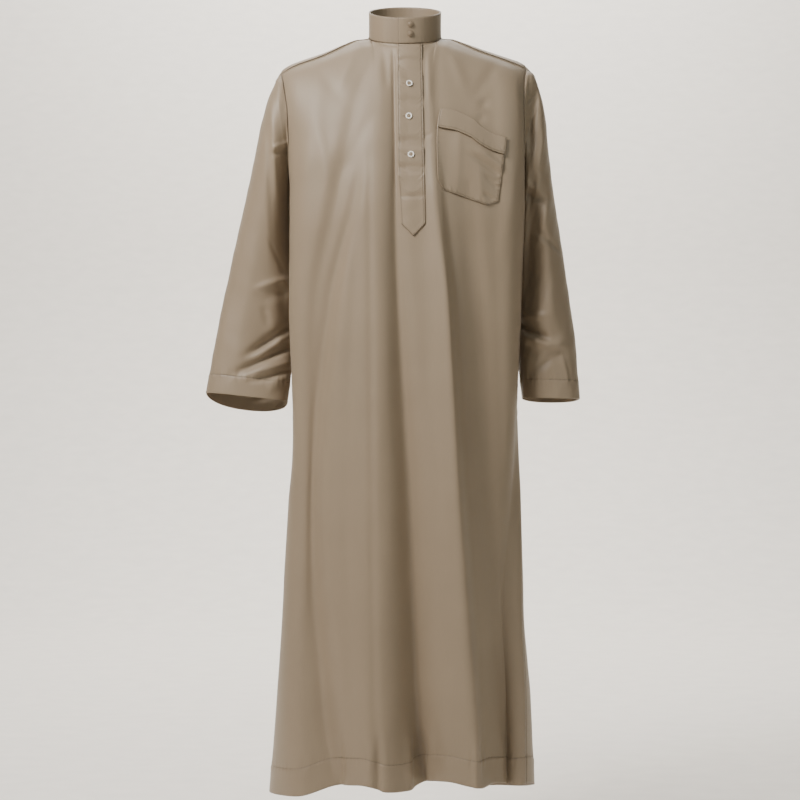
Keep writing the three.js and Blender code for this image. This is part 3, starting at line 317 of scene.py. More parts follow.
# Short creases and dents: from one end to the other, half width, and how far out. Those of the
# sleeves move the cloth to the front or back alone.
FRONT_DENTS = in_metres(
    Dent,
    (-36, -45, -33, -90, 7, -1.6), (-52, -40, -78, -98, 9, -0.8),
    (-20.5, -50, -16.5, -285, 3.2, -2.2), (-94, -44, -112, -92, 10, 1.6),
    (-150, -66, -118, -112, 12, -1), (40, -45, 42, -118, 4, 0.9), (55, -46, 52, -118, 10, -1),
    (84, -44, 100, -92, 10, 1.4), (152, -68, 128, -108, 10, -1.6), (139, -127, 137, -132, 7, -2.8),
    (134, -154, 132, -158, 6, -2.6), (36, -190, 44, -187, 3, -1.2),
    (-72, -175, -100, -245, 12, -1.8), (-148, -190, -136, -262, 10, 2),
    (192, -240, 170, -380, 10, 1.6), (-112, -1250, -113, -1318, 6, -4),
    (-45, -1240, -46, -1325, 6, -5), (-60, -1250, -62, -1320, 8, 3), (6, -1240, 6, -1322, 6, 4),
    (21, -1240, 22, -1320, 7, -4), (44, -1235, 45, -1310, 6, 4), (121, -1240, 121, -1315, 5, 3),
    (135, -1240, 136, -1315, 6, -3), (168, -1250, 172, -1320, 8, 3),
)
BACK_DENTS = in_metres(
    Dent,
    (-60, -30, -84, -100, 10, -1.6), (64, -30, 90, -104, 10, -1.6),
    (-150, -70, -120, -130, 10, -1.8), (150, -70, 126, -126, 10, -1.8),
    (150, -230, 118, -330, 12, 1.8), (-152, -240, -126, -330, 12, 1.8),
)
PLACKET_DENTS = in_metres(
    Dent,
    (-12, -58, 30, -62, 10, -5), (-12, -46, 24, -44, 6, 0.8), (-12, -128, 31, -131, 8, -2),
    (-10, -200, 32, -205, 8, -2.4), (-9, -214, 32, -217, 5, 1), (-8, -246, 33, -250, 7, -2.4),
    (-10, -84, 6, -98, 5, 1), (-6, -296, 33, -296, 4, -1),
)
POCKET_DENTS = in_metres(
    Dent,
    (93.5, -186, 90, -276, 8, 1.4), (73, -190, 70, -276, 10, -1.4), (134, -220, 164, -241, 7, 3),
    (124, -229, 158, -251, 6, -2.8), (128, -256, 133, -292, 7, 1), (143, -262, 157, -276, 4, -1.4),
    (140, -292, 150, -300, 4, -1.6), (110, -276, 112, -296, 6, -1),
)
DENTS_RIGHT = in_metres(
    Dent,
    (-213, -216, -210, -372, 11, -20), (-232, -205, -222, -340, 5, 2.2),
    (-229, -203, -208, -192, 4, 3), (-226, -212, -208, -205, 5, -4),
    (-243, -150, -235, -364, 5, -1), (-251, -150, -244, -364, 5, 0.7),
    (-254, -446, -212, -431, 6, 3.5), (-240, -462, -208, -450, 10, -4),
    (-236, -375, -213, -428, 4, -2), (-218, -450, -212, -540, 10, -6),
    (-250, -490, -247, -506, 7, -2.5), (-270, -560, -208, -515, 8, -10),
    (-262, -572, -206, -530, 7, 3), (-282, -590, -207, -551, 8, -12),
    (-262, -597, -208, -580, 5, 3), (-258, -610, -208, -596, 6, -8), (-236, -625, -222, -608, 8, 3),
    (-300, -400, -312, -480, 12, -2),
)
DENTS_LEFT = in_metres(
    Dent,
    (213, -121, 234, -100, 4, -3), (231, -95, 228, -190, 14, -18), (236, -107, 218, -175, 5, -4),
    (243, -118, 232, -180, 6, 1), (220, -150, 222, -470, 9, -8), (250, -300, 260, -490, 14, 8),
    (214, -262, 250, -287, 6, 3.5), (212, -280, 250, -290, 8, -9), (256, -295, 236, -364, 8, 3),
    (228, -300, 232, -340, 10, -4), (240, -243, 258, -240, 5, -1.8), (240, -352, 272, -377, 6, -5),
    (246, -370, 272, -385, 5, 2.2), (206, -497, 242, -498, 6, 5), (204, -508, 250, -538, 8, -11),
    (208, -536, 274, -551, 10, 11), (276, -560, 244, -584, 10, -5),
    (280, -568, 296, -621, 3.5, 1.2), (285, -566, 301, -620, 3.5, -1.2),
)

# Puckers beside sewn lines: how far they reach, the length of their waves, and how far out.
HEM_PUCKER = Pucker(0.014, 0.015, 0.0018)
SLOT_PUCKER = Pucker(0.028, 0.012, 0.0034)
CUFF_PUCKER = Pucker(0.010, 0.011, 0.0022)
ARMHOLE_PUCKER = Pucker(0.010, 0.016, 0.0006)
POCKET_SIDE_PUCKER = Pucker(0.010, 0.009, 0.0026)
POCKET_FOOT_PUCKER = Pucker(0.009, 0.009, 0.0018)

# Gentle disorder: how far out, how much it leans, and its length.
PANEL_WAVES = [Wave(0.0009, 0.3, 0.085), Wave(0.0006, 0.4, 0.12)]
SLEEVE_WAVE = Wave(0.0008, 1, 0.07)
PLACKET_WAVE = Wave(0.0003, 1, 0.045)
COLLAR_WAVE = Wave(0.0006, 0.02, 0.09)

# The shoulder seam: the front is pressed in beside it, and the back stands a little over it.
FRONT_SEAM = SeamEdge(-0.0016, 0.004, 0.003, 0.02)
BACK_SEAM = SeamEdge(0.0012, 0, 0.005, 0.03)

# ---- small mathematics ----------------------------------------------------------------------
def lerp(a, b, share):
    return a + (b - a) * share


def smooth(x, low, high):
    share = np.clip((x - low) / (high - low), 0, 1)
    return share * share * (3 - 2 * share)


def bell(away):
    return np.exp(-(away**2))


def curve_through(xs, ys, x):
    """Smooth monotone curve through the values ys at the ascending places xs."""
    xs, ys = np.asarray(xs, float), np.asarray(ys, float)
    steps = np.diff(ys) / np.diff(xs)
    product = steps[:-1] * steps[1:]
    total = steps[:-1] + steps[1:]
    inner = np.where(product > 0, 2 * product / np.where(total == 0, 1, total), 0)
    tangents = np.concatenate([steps[:1], inner, steps[-1:]])
    x = np.clip(x, xs[0], xs[-1])
    i = np.clip(np.searchsorted(xs, x) - 1, 0, len(xs) - 2)
    span = xs[i + 1] - xs[i]
    t = (x - xs[i]) / span
    rise = (2 * t**3 - 3 * t**2 + 1) * ys[i] + (3 * t**2 - 2 * t**3) * ys[i + 1]
    return rise + span * ((t**3 - 2 * t**2 + t) * tangents[i] + (t**3 - t**2) * tangents[i + 1])


def from_table(rows, key, column, at):
    """A column of a table, read at a place of its key column."""
    rows = sorted(rows, key=lambda row: getattr(row, key))
    return curve_through([getattr(r, key) for r in rows], [getattr(r, column) for r in rows], at)


def at_station(values, z):
    return curve_through(STATIONS[::-1], values[::-1], z)


def unevenness(along, across, seed, wave):
    """Gentle disorder between -1 and 1, from waves that never fall in step."""
    turns = np.random.default_rng(seed).uniform(0, 2 * math.pi, 6)
    total = 0
    for i, turn in enumerate(turns):
        pitch = wave * (0.55 + 0.31 * i)
        lean = math.sin(turn * 7) * 0.8
        total = total + np.sin(2 * math.pi * (along / pitch + lean * across / pitch) + turn)
    return total / len(turns)


def waves(wave, along, across, seed):
    """Gentle disorder of one kind, in metres."""
    return wave.out * unevenness(along, wave.lean * across, seed, wave.length)


def unit(vectors):
    size = np.linalg.norm(vectors, axis=-1, keepdims=True)
    return vectors / np.where(size == 0, 1, size)


def grid(rows, columns):
    return np.meshgrid(rows, columns, indexing="ij")


def normals_of(points, closed=False):
    """Normals of a grid of points: across the columns' way times up the rows."""
    if closed:
        across = np.roll(points, -1, 1) - np.roll(points, 1, 1)
    else:
        across = np.gradient(points, axis=1)
    return unit(np.cross(across, np.gradient(points, axis=0)))


def lengths(points, axis):
    """Length along the cloth from the first row or column."""
    steps = np.linalg.norm(np.diff(points, axis=axis), axis=-1)
    shape = list(steps.shape)
    shape[axis] = 1
    return np.concatenate([np.zeros(shape), np.cumsum(steps, axis)], axis)


# ---- the body's surface ---------------------------------------------------------------------
def section(z):
    return Section(z, *(from_table(BODY_SECTIONS, "z", name, z) for name in Section._fields[1:]))


def square_round(angle, power):
    """Shares of width and depth at an angle from centre front, 0 to 180 degrees."""
    across = np.abs(np.sin(np.radians(angle)))
    deep = np.abs(np.cos(np.radians(angle)))
    size = (across**power + deep**power) ** (1 / power)
    return across / size, deep / size


def angle_at_x(x, z):
    body = section(z)
    across = np.minimum(0.999, np.abs(x) / np.where(x < 0, body.right, body.left))
    deep = (1 - across**body.power) ** (1 / body.power)
    return np.sign(x) * np.degrees(np.arctan2(across, deep))


def side_seams(z):
    return [from_table(SIDE_SEAMS, "z", name, z) for name in Seam._fields[1:]]


def fold_out(folds, x, z):
    down = smooth(z, STATIONS[0], STATIONS[-1])
    out = 0
    for fold in folds:
        away = x - at_station(fold.x, z)
        side = np.where(away < 0, lerp(*fold.right, down), lerp(*fold.left, down))
        out = out + at_station(fold.out, z) * bell(away / side)
    return out


def body_point(angle, z, root):
    """A point of the body. root is the root of the drop below the shoulder crest, in millimetres;
    a minus root has passed over the crest to the front."""
    body = section(z)
    turn = np.abs(angle)
    is_front = turn <= 90
    across, deep = square_round(turn, body.power)
    reach = np.where(angle < 0, body.right, body.left) * (1 - body.tuck * smooth(turn, *TUCK_ANGLES))
    on_front = is_front | (root < 0)
    depth = np.where(on_front, body.front, body.back)
    depth = depth * from_table(SHOULDER_ROUND, "root", "share", np.abs(root))
    x = np.sign(angle) * reach * across
    seam = np.where(angle < 0, *side_seams(z))
    from_seam = np.where(is_front, smooth(seam - turn, *FRONT_CLEAR), smooth(turn - seam, *BACK_CLEAR))
    below = smooth(root, SEAM_DROP_SHOULDER + 0.5, FOLDS_FULL_ROOT)
    folds = np.where(is_front, fold_out(FRONT_FOLDS, x, z), fold_out(BACK_FOLDS, x, z))
    out = from_seam * below * folds
    radial = smooth(across, *RADIAL_FOLDS)
    facing = np.where(on_front, -1, 1)
    return np.stack([x + np.sign(angle) * out * radial * across,
                     facing * (depth * deep + out * lerp(1, deep, radial)),
                     z + 0 * x], -1)


def crest_at(x, face):
    return from_table(SHOULDER_CREST, "x", face, x)


def shoulder_point(angle, root, face):
    """A point of the upper body, found from its drop below the shoulder crest."""
    z = -0.08 + 0 * (angle + root)
    for _ in range(6):
        body = section(z)
        reach = np.where(angle < 0, -body.right, body.left)
        z = crest_at(reach * square_round(np.abs(angle), body.power)[0], face) - MM * root**2
    return body_point(angle, z, root)


def lower_root(angle, z, face):
    x = body_point(angle, z, FULL_DEPTH_ROOT + 0 * z)[..., 0]
    return np.sqrt(np.maximum(0, (crest_at(x, face) - z) / MM))


def neck_point(angle):
    y = NECK_CENTRE_Y - NECK_HALF_DEPTH * np.cos(np.radians(angle))
    x = NECK_HALF_WIDTH * np.sin(np.radians(angle))
    return np.stack([x, y, NECK_SIDE_Z + NECK_SLOPE * y], -1)


def neck_angle_at(x):
    return np.degrees(np.arcsin(np.clip(x / NECK_HALF_WIDTH, -1, 1)))


def from_front(angle):
    """Turns an angle from centre back into one from centre front, and the other way round."""
    return np.where(angle < 0, -1, 1) * (180 - np.abs(angle))


TO_BODY_ANGLE = {"front": lambda angle: angle, "back": from_front}


def armhole_angle(share):
    return from_table(ARMHOLE, "along", "angle", share)


def seam_angle(share):
    corner = angle_at_x(NECK_HALF_WIDTH * math.sin(math.radians(NECK_SEAM_ANGLE)), NECK_BASE_Z)
    return lerp(corner, armhole_angle(1), share)


def neck_root(point, face):
    body = section(point[..., 2])
    before = point[..., 1] < 0
    share = np.abs(point[..., 1]) / np.where(before, body.front, body.back)
    root = from_table(SHOULDER_ROUND, "share", "root", share)
    return np.where((face == "back") & before, -root, root)


# ---- the panels -----------------------------------------------------------------------------
def column_tops(face, column, neck, last, neck_angle, top_angle, sides):
    """Angle, root and shift of each column's end on the shoulder or collar seam."""
    place = TO_BODY_ANGLE[face]
    sign = 1 if face == "front" else -1
    before = np.clip(1 - column / neck[0], 0, 1)
    after = np.clip((column - neck[1]) / (last - neck[1]), 0, 1)
    share = np.maximum(before, after)
    side = np.where(column < neck[0], sides[0], sides[1])
    on_neck = (column >= neck[0]) & (column <= neck[1])
    drop = lerp(SEAM_DROP_NECK, SEAM_DROP_SHOULDER, smooth(share, 0, 0.4))
    point = neck_point(neck_angle)
    angle = np.where(on_neck, top_angle, side * seam_angle(share))
    root = np.where(on_neck, neck_root(point, face), sign * drop)
    raw = shoulder_point(place(angle), root, face)
    corner = neck_point(side * NECK_SEAM_ANGLE)
    corner_raw = shoulder_point(place(side * seam_angle(0)), sign * SEAM_DROP_NECK + 0 * side, face)
    away = np.maximum(neck[0] - column, column - neck[1])
    near = np.clip(1 - away, 0, 1)[..., None]
    shift = np.where(on_neck[..., None], point - raw, (corner - corner_raw) * near)
    return angle, root, shift


def panel_points(face, column, row, angle_at, tops):
    """A panel below the underarm, in columns at the angles that angle_at gives, and above it."""
    place = TO_BODY_ANGLE[face]
    hem = from_table(HEM, "angle", "z", place(angle_at(SIDE_HEM_Z + 0 * column)))
    z = lerp(hem, UNDERARM_Z, np.clip(row / LOWER_ROWS, 0, 1))
    angle = place(angle_at(z))
    lower = body_point(angle, z, lower_root(angle, z, face))
    angle, root, shift = tops
    below = angle_at(UNDERARM_Z + 0 * column)
    share = (np.maximum(row, LOWER_ROWS) - LOWER_ROWS) / UPPER_ROWS
    turned = lerp(below / 90, angle / armhole_angle(1), share) * armhole_angle(share)
    base_root = lower_root(place(below), UNDERARM_Z + 0 * below, face)
    surface = shoulder_point(place(turned), lerp(base_root, root, share), face)
    upper = surface + shift * smooth(share, 0.45, 1)[..., None]
    return np.where((row <= LOWER_ROWS)[..., None], lower, upper)


def front_points(column, row):
    """The front panel's surface at fractional columns and rows of the solid's grid."""
    column, row = np.broadcast_arrays(np.asarray(column, float), np.asarray(row, float))
    marks = [0, *(guide.column for guide in FRONT_GUIDES), FRONT_COLUMNS]

    def angle_at(z):
        right, left = side_seams(z)
        values = [-right, *(angle_at_x(at_station(g.x, z), z) for g in FRONT_GUIDES), left]
        angle = values[0] + 0 * column
        for first, last, low, high in zip(marks, marks[1:], values, values[1:]):
            share = np.clip((column - first) / (last - first), 0, 1)
            angle = np.where(column > first, lerp(low, high, share), angle)
        return angle

    x = np.interp(column, [g.column for g in FRONT_GUIDES], [g.x[0] for g in FRONT_GUIDES])
    tops = column_tops("front", column, FRONT_NECK, FRONT_COLUMNS, neck_angle_at(x),
                       angle_at_x(x, NECK_BASE_Z), (-1, 1))
    return panel_points("front", column, row, angle_at, tops)


def back_points(column, row):
    """The back panel, whose columns run from the wearer's left side seam to the right one."""
    column, row = np.broadcast_arrays(np.asarray(column, float), np.asarray(row, float))
    part = 1 - 2 * column / BACK_COLUMNS

    def angle_at(z):
        right, left = side_seams(z)
        return part * (180 - np.where(part > 0, left, right))

    neck_part = 1 - 2 * (column - BACK_NECK[0]) / (BACK_NECK[1] - BACK_NECK[0])
    neck_part = np.clip(neck_part, -1, 1)
    tops = column_tops("back", column, BACK_NECK, BACK_COLUMNS,
                       from_front(neck_part * (180 - NECK_SEAM_ANGLE)),
                       neck_part * seam_angle(0), (1, -1))
    return panel_points("back", column, row, angle_at, tops)


def dents_out(dents, x, z):
    """How far short creases stand out at (x, z)."""
    out = 0
    for dent in dents:
        run = np.array([dent.x1 - dent.x0, dent.z1 - dent.z0])
        size = np.linalg.norm(run)
        along = ((x - dent.x0) * run[0] + (z - dent.z0) * run[1]) / size
        past = along - np.clip(along, 0.15 * size, 0.85 * size)
        away = np.abs((x - dent.x0) * run[1] - (z - dent.z0) * run[0]) / size
        out = out + dent.out * bell(past / (0.25 * size + dent.wide)) * bell(away / dent.wide)
    return out


def pucker(distance, run, kind, seed):
    """Uneven small waves along a sewn line, dying away from it."""
    strength = 0.65 + 0.35 * unevenness(run, 0 * run, seed + 1, 5 * kind.wave)
    ripple = unevenness(run, 0.35 * distance, seed, kind.wave)
    return kind.out * strength * ripple * bell(distance / kind.reach)


def nearest(*lines):
    """Distance to the nearest of several sewn lines, and the length along it."""
    distances = np.stack([distance for distance, _ in lines])
    runs = np.stack([run for _, run in lines])
    which = distances.argmin(0)[None]
    return np.take_along_axis(distances, which, 0)[0], np.take_along_axis(runs, which, 0)[0]


def panel_rows(near_hem, middle, upper):
    """Fractional rows of a panel, closer together at the hem and above the underarm."""
    hem_share = 0.9
    return np.concatenate([np.linspace(0, hem_share, near_hem, endpoint=False),
                           np.linspace(hem_share, LOWER_ROWS, middle, endpoint=False),
                           np.linspace(LOWER_ROWS, LOWER_ROWS + UPPER_ROWS, upper)])


@lru_cache(None)
def front_surface():
    column = np.linspace(0, FRONT_COLUMNS, FRONT_FINE * FRONT_COLUMNS + 1)
    points = front_points(column[None, :], panel_rows(20, 120, 100)[:, None])
    return dress_panel(points, FRONT_DENTS, seed=11)


@lru_cache(None)
def back_surface():
    column = np.linspace(0, BACK_COLUMNS, BACK_FINE * BACK_COLUMNS + 1)
    points = back_points(column[None, :], panel_rows(18, 100, 80)[:, None])
    return dress_panel(points, BACK_DENTS, seed=23)


def dress_panel(points, dents, seed):
    """Adds dents, puckers, the shoulder seam and the turned-up hem to a panel."""
    across, up = lengths(points, 1), lengths(points, 0)
    x, z = points[..., 0], points[..., 2]
    from_sides = np.minimum(across, across[:, -1:] - across)
    from_top = up[-1:] - up
    from_hem_line = np.abs(up - HEM_TURN)
    inside = smooth(from_sides, *EDGE_CLEAR) * smooth(from_top, *EDGE_CLEAR)
    out = inside * (dents_out(dents, x, z) + waves(PANEL_WAVES[0], x, z, seed)
                    + waves(PANEL_WAVES[1], z, x, seed + 3))
    seam = FRONT_SEAM if dents is FRONT_DENTS else BACK_SEAM
    out = out + seam.out * bell((from_top - seam.down) / seam.wide) * smooth(from_sides, 0, seam.taper)
    out = out + pucker(from_hem_line, across, HEM_PUCKER, seed)
    out = out + HEM_STEP * smooth(HEM_TURN - up, 0, TURN_EDGE)
    slot = (smooth(z, POCKET_SLOT[0] - SLOT_FADE, POCKET_SLOT[0] + SLOT_FADE)
            * smooth(-z, -POCKET_SLOT[1] - SLOT_FADE, -POCKET_SLOT[1] + SLOT_FADE))
    out = out + slot * pucker(from_sides, up, SLOT_PUCKER, seed + 5)
    points = points + normals_of(points) * out[..., None]
    return points, *nearest((from_sides, up), (from_top, across), (from_hem_line, across))


# ---- sleeves --------------------------------------------------------------------------------
SLEEVE_FIRST = 0.07
SLEEVE_HEAD = 0.13              # share of the length in which the sleeve takes its own form
CROWN_AT = 0.035                # the sleeve head stands a little proud at the shoulder tip
CROWN_RISE = 0.0035
HEAD_AT_TIP = 0.7               # the head's reach at the shoulder tip, and its gain at the front
HEAD_GAIN = 0.4
SLEEVE_FADE = (0.06, 0.16)      # shares of the length over which the creases come in
DENTS_FADE_OVER = (0.8, 0.2)    # how far round the dents fade, on the outer and inner side
BACK_DENT_SHARE = 0.7           # the sleeve's back is creased like its front, less and lower
BACK_DENT_SHIFT = 0.035
Sleeve = namedtuple("Sleeve", "name rings creases dents seed")
SLEEVES = {
    -1: Sleeve("right", SLEEVE_RIGHT, CREASES_RIGHT, DENTS_RIGHT, 31),
    1: Sleeve("left", SLEEVE_LEFT, CREASES_LEFT, DENTS_LEFT, 37),
}


def armhole_point(side, around):
    """The panels' own edge: the shoulder tip at 0, the front at 90, the underarm at 180."""
    front_row = LOWER_ROWS + UPPER_ROWS * (1 - np.clip(around, 0, 180) / 180)
    back_row = LOWER_ROWS + UPPER_ROWS * np.clip((around - 180) / 180, 0, 1)
    fronts = front_points(0 if side < 0 else FRONT_COLUMNS, front_row)
    backs = back_points(BACK_COLUMNS if side < 0 else 0, back_row)
    return np.where((around <= 180)[..., None], fronts, backs)


def sleeve_ring(along, around, side):
    rings = SLEEVES[side].rings
    ring = Ring(along, *(from_table(rings, "along", name, along) for name in Ring._fields[1:]))
    turn = np.where(around > 180, 360 - around, around)
    across, deep = square_round(turn, SLEEVE_POWER)
    share = (1 + np.where(turn <= 90, deep, -deep)) / 2
    frontward = np.where(around <= 180, across, -across)
    return np.stack([side * lerp(ring.inner_x, ring.outer_x, share),
                     ring.y - frontward * ring.depth,
                     lerp(ring.inner_z, ring.outer_z, share) + frontward * ring.lift
                     - across * ring.sag], -1)


def creases_out(creases, along, around):
    out = 0
    for crease in creases:
        down = (along - crease.along) / crease.wide_along
        centre = crease.around + crease.slant * (along - crease.along)
        out = out + crease.out * bell(down) * bell((around - centre) / crease.wide_around)
    return out


@lru_cache(None)
def sleeve_surface(side):
    sleeve = SLEEVES[side]
    near_cuff = 0.94
    along = np.concatenate([np.linspace(0, near_cuff, 178, endpoint=False),
                            np.linspace(near_cuff, 1, 22)])
    along, around = grid(along, np.arange(0, 360, 360 / 150))
    own = np.maximum(along, SLEEVE_FIRST)
    sine, cosine = np.sin(np.radians(around)), np.cos(np.radians(around))
    points = sleeve_ring(own, around, side)
    front, behind = (sleeve_ring(own, turn + 0 * own, side) for turn in (90, 270))
    fade = smooth(along, *SLEEVE_FADE)
    out = fade * creases_out(sleeve.creases, own, around)
    points = points + unit(points - (front + behind) / 2) * out[..., None]
    reach = SLEEVE_HEAD * (HEAD_AT_TIP + HEAD_GAIN * np.abs(sine))
    head = np.clip(1 - along / reach, 0, 1) ** 2
    first = sleeve_ring(SLEEVE_FIRST + 0 * own, around, side)
    points = points + head[..., None] * (armhole_point(side, around) - first)
    up, across = lengths(points, 0), lengths(points, 1)
    from_cuff = up[-1:] - up
    from_cuff_line = np.abs(from_cuff - CUFF_TURN)
    crown = bell((along - CROWN_AT) / CROWN_AT) * np.maximum(cosine, 0) ** 2
    small = (pucker(from_cuff_line, across, CUFF_PUCKER, sleeve.seed)
             + CROWN_RISE * crown * smooth(along, 0, 0.01)
             + CUFF_STEP * smooth(CUFF_TURN - from_cuff, 0, TURN_EDGE)
             + fade * waves(SLEEVE_WAVE, up, across, sleeve.seed + 2)
             + pucker(up, across, ARMHOLE_PUCKER, sleeve.seed + 4) * smooth(up, 0, 0.004))
    x, z = points[..., 0], points[..., 2]
    fade_over = np.where(cosine > 0, *DENTS_FADE_OVER)
    dented = smooth(sine, 0, fade_over) * dents_out(sleeve.dents, x, z)
    back_dented = BACK_DENT_SHARE * dents_out(sleeve.dents, x, z + BACK_DENT_SHIFT)
    dented = dented - smooth(-sine, 0, fade_over) * back_dented
    points[..., 1] -= dented * smooth(along, 0.004, 0.03)
    normals = normals_of(points, closed=True) * side
    return points + normals * small[..., None], *nearest((up, across), (from_cuff_line, across))


# ---- collar ---------------------------------------------------------------------------------
def collar_point(angle, rise, inward):
    base = neck_point(angle)
    centre = np.stack([0 * base[..., 0], NECK_CENTRE_Y + 0 * base[..., 0], base[..., 2]], -1)
    lean = np.stack([0 * rise, COLLAR_LEAN * rise / COLLAR_HEIGHT, rise], -1)
    return base + unit(centre - base) * inward[..., None] + lean


@lru_cache(None)
def collar_surface():
    rise, angle = grid(np.linspace(COLLAR_FOOT, COLLAR_HEIGHT, 16),
                       np.linspace(COLLAR_TOP_END, 360 + COLLAR_UNDER_END, 340))
    points = collar_point(angle, rise, COLLAR_STEP_IN * smooth(angle, *COLLAR_STEP_ANGLES))
    share = rise / COLLAR_HEIGHT
    round_by = angle / 360 * 0.4
    out = np.sin(math.pi * share) * waves(COLLAR_WAVE, round_by, share, 5)
    points = points + normals_of(points) * out[..., None]
    across, up = lengths(points, 1), lengths(points, 0)
    edge = np.minimum(np.minimum(across, across[:, -1:] - across), up[-1:] - up)
    return points, *nearest((edge, across), (up, across))


# ---- what lies on the front -----------------------------------------------------------------
@lru_cache(None)
def front_tree():
    points = front_surface()[0]
    faces = grid_faces(*points.shape[:2])
    return BVHTree.FromPolygons([Vector(p) for p in points.reshape(-1, 3)], faces.tolist())


def on_front(x, z, out):
    """Points at (x, z) on the front panel, moved out from it."""
    depth = []
    for px, pz in zip(x.ravel(), z.ravel()):
        hit = front_tree().ray_cast(Vector((px, -1, pz)), Vector((0, 1, 0)))[0]
        if hit is None:
            raise ValueError(f"the front has no cloth at {px:.4f}, {pz:.4f}")
        depth.append(hit.y)
    points = np.stack([x, np.reshape(depth, x.shape), z], -1)
    return points + normals_of(points) * out[..., None]


@lru_cache(None)
def placket_surface(is_under=False):
    rows, columns = (60, 12) if is_under else (150, 34)
    up, share = grid(np.linspace(0, 1, rows), np.linspace(0, 1, columns))
    bottom = SLIT_BOTTOM_Z - UNDER_PLACKET_PAST if is_under else PLACKET_BOTTOM_Z
    top = neck_point(neck_angle_at(lerp(*PLACKET_TOP, share)))[..., 2] - MM
    point = 0 if is_under else (PLACKET_POINT_Z - PLACKET_BOTTOM_Z) * (1 - np.abs(2 * share - 1))
    z = lerp(bottom, top, up) + point * np.clip(1 - up * 1.9, 0, 1)
    inset = UNDER_PLACKET_INSET if is_under else (0, 0)
    x = lerp(from_table(PLACKET_EDGES, "z", "right", z) + inset[0],
             from_table(PLACKET_EDGES, "z", "left", z) - inset[1], share)
    if is_under:
        points = on_front(x, z, UNDER_PLACKET_OUT + 0 * x)
    else:
        free = smooth(z, SLIT_BOTTOM_Z, SLIT_BOTTOM_Z + 0.03) * smooth(-z, 0.03, 0.06)
        lift = PLACKET_LIFT * free * np.clip(1 - share / 0.4, 0, 1) ** 1.5
        out = LAY_GAP + LAID_CLOTH + lift + dents_out(PLACKET_DENTS, x, z)
        out = out + waves(PLACKET_WAVE, z, x, 3)
        points = on_front(x, z, np.maximum(out, 0.0004))
    across, length = lengths(points, 1), lengths(points, 0)
    edge = np.minimum(across, across[:, -1:] - across)
    return points, *nearest((np.abs(edge - STITCH_INSET), length), (length, across))


def pocket_place(across, down):
    def mix(name):
        corners = [getattr(spot, name) for spot in POCKET_CORNERS]
        return lerp(lerp(*corners[:2], across), lerp(*corners[2:], across), down)

    rise = from_table(POCKET_MOUTH, "across", "rise", across)
    bow = POCKET_SIDE_BOW * np.sin(math.pi * down**0.6) * (1 - across) ** 2
    return mix("x") - bow, mix("z") + rise * (1 - smooth(down, 0.1, 0.1 + POCKET_MOUTH_REACH))


@lru_cache(None)
def pocket_surface(is_band=False):
    first, last = (0, POCKET_BAND_SHARE) if is_band else (POCKET_TOP_SHARE, 1)
    rows, columns = (20, 60) if is_band else (84, 64)
    down, part = grid(np.linspace(last, first, rows), np.linspace(0, 1, columns))
    past = np.maximum(0, down - (1 - POCKET_CUT_HEIGHT)) / POCKET_CUT_HEIGHT
    across = lerp(POCKET_CUT_RIGHT * past, 1 - POCKET_CUT_LEFT * past, part)
    x, z = pocket_place(across, down)
    out = POCKET_SWELL * np.sin(math.pi * across) * np.sin(math.pi * np.clip(down, 0, 1))
    if is_band:
        out = out + 2 * (LAY_GAP + LAID_CLOTH) + BAND_LIFT * (down / POCKET_BAND_SHARE) ** 2
    else:
        from_left, from_foot = (1 - across) * POCKET_SIZE[0], (1 - down) * POCKET_SIZE[1]
        side = pucker(from_left, down * POCKET_SIZE[1], POCKET_SIDE_PUCKER, 41)
        foot = pucker(from_foot, across * 0.11, POCKET_FOOT_PUCKER, 43)
        out = (out + 1.4 * LAY_GAP + LAID_CLOTH
               + dents_out(POCKET_DENTS, x, z) * smooth(down, POCKET_TOP_SHARE, 0.2)
               + side * smooth(from_left, 0, 0.003) + foot * smooth(from_foot, 0, 0.003))
    points = on_front(x, z, np.maximum(out, 0.0006))
    wide, length = lengths(points, 1), lengths(points, 0)
    edge = np.minimum(wide, wide[:, -1:] - wide)
    if is_band:
        lines = (np.abs(length - STITCH_INSET), wide), (np.abs(edge - 0.002), length)
    else:
        lines = (np.abs(edge - 0.0025), length), (np.abs(length - 0.0025), wide)
    return points, *nearest(*lines)


# ---- meshes ---------------------------------------------------------------------------------
def grid_faces(rows, columns, closed=False):
    """Corner numbers of a grid's cells, row by row."""
    row, column = grid(np.arange(rows - 1), np.arange(columns if closed else columns - 1))
    after = (column + 1) % columns
    corners = [row * columns + column, row * columns + after,
               (row + 1) * columns + after, (row + 1) * columns + column]
    return np.stack(corners, -1).reshape(-1, 4)


def link_object(name, data):
    made = bpy.data.objects.new(name, data)
    bpy.context.scene.collection.objects.link(made)
    return made


def new_mesh(name, vertices, faces, smooth_faces=None):
    mesh = bpy.data.meshes.new(name)
    mesh.from_pydata(np.asarray(vertices).tolist(), [], [list(map(int, face)) for face in faces])
    keep = np.ones(len(faces), bool) if smooth_faces is None else smooth_faces
    mesh.polygons.foreach_set("use_smooth", keep)
    mesh.update()
    return link_object(name, mesh)


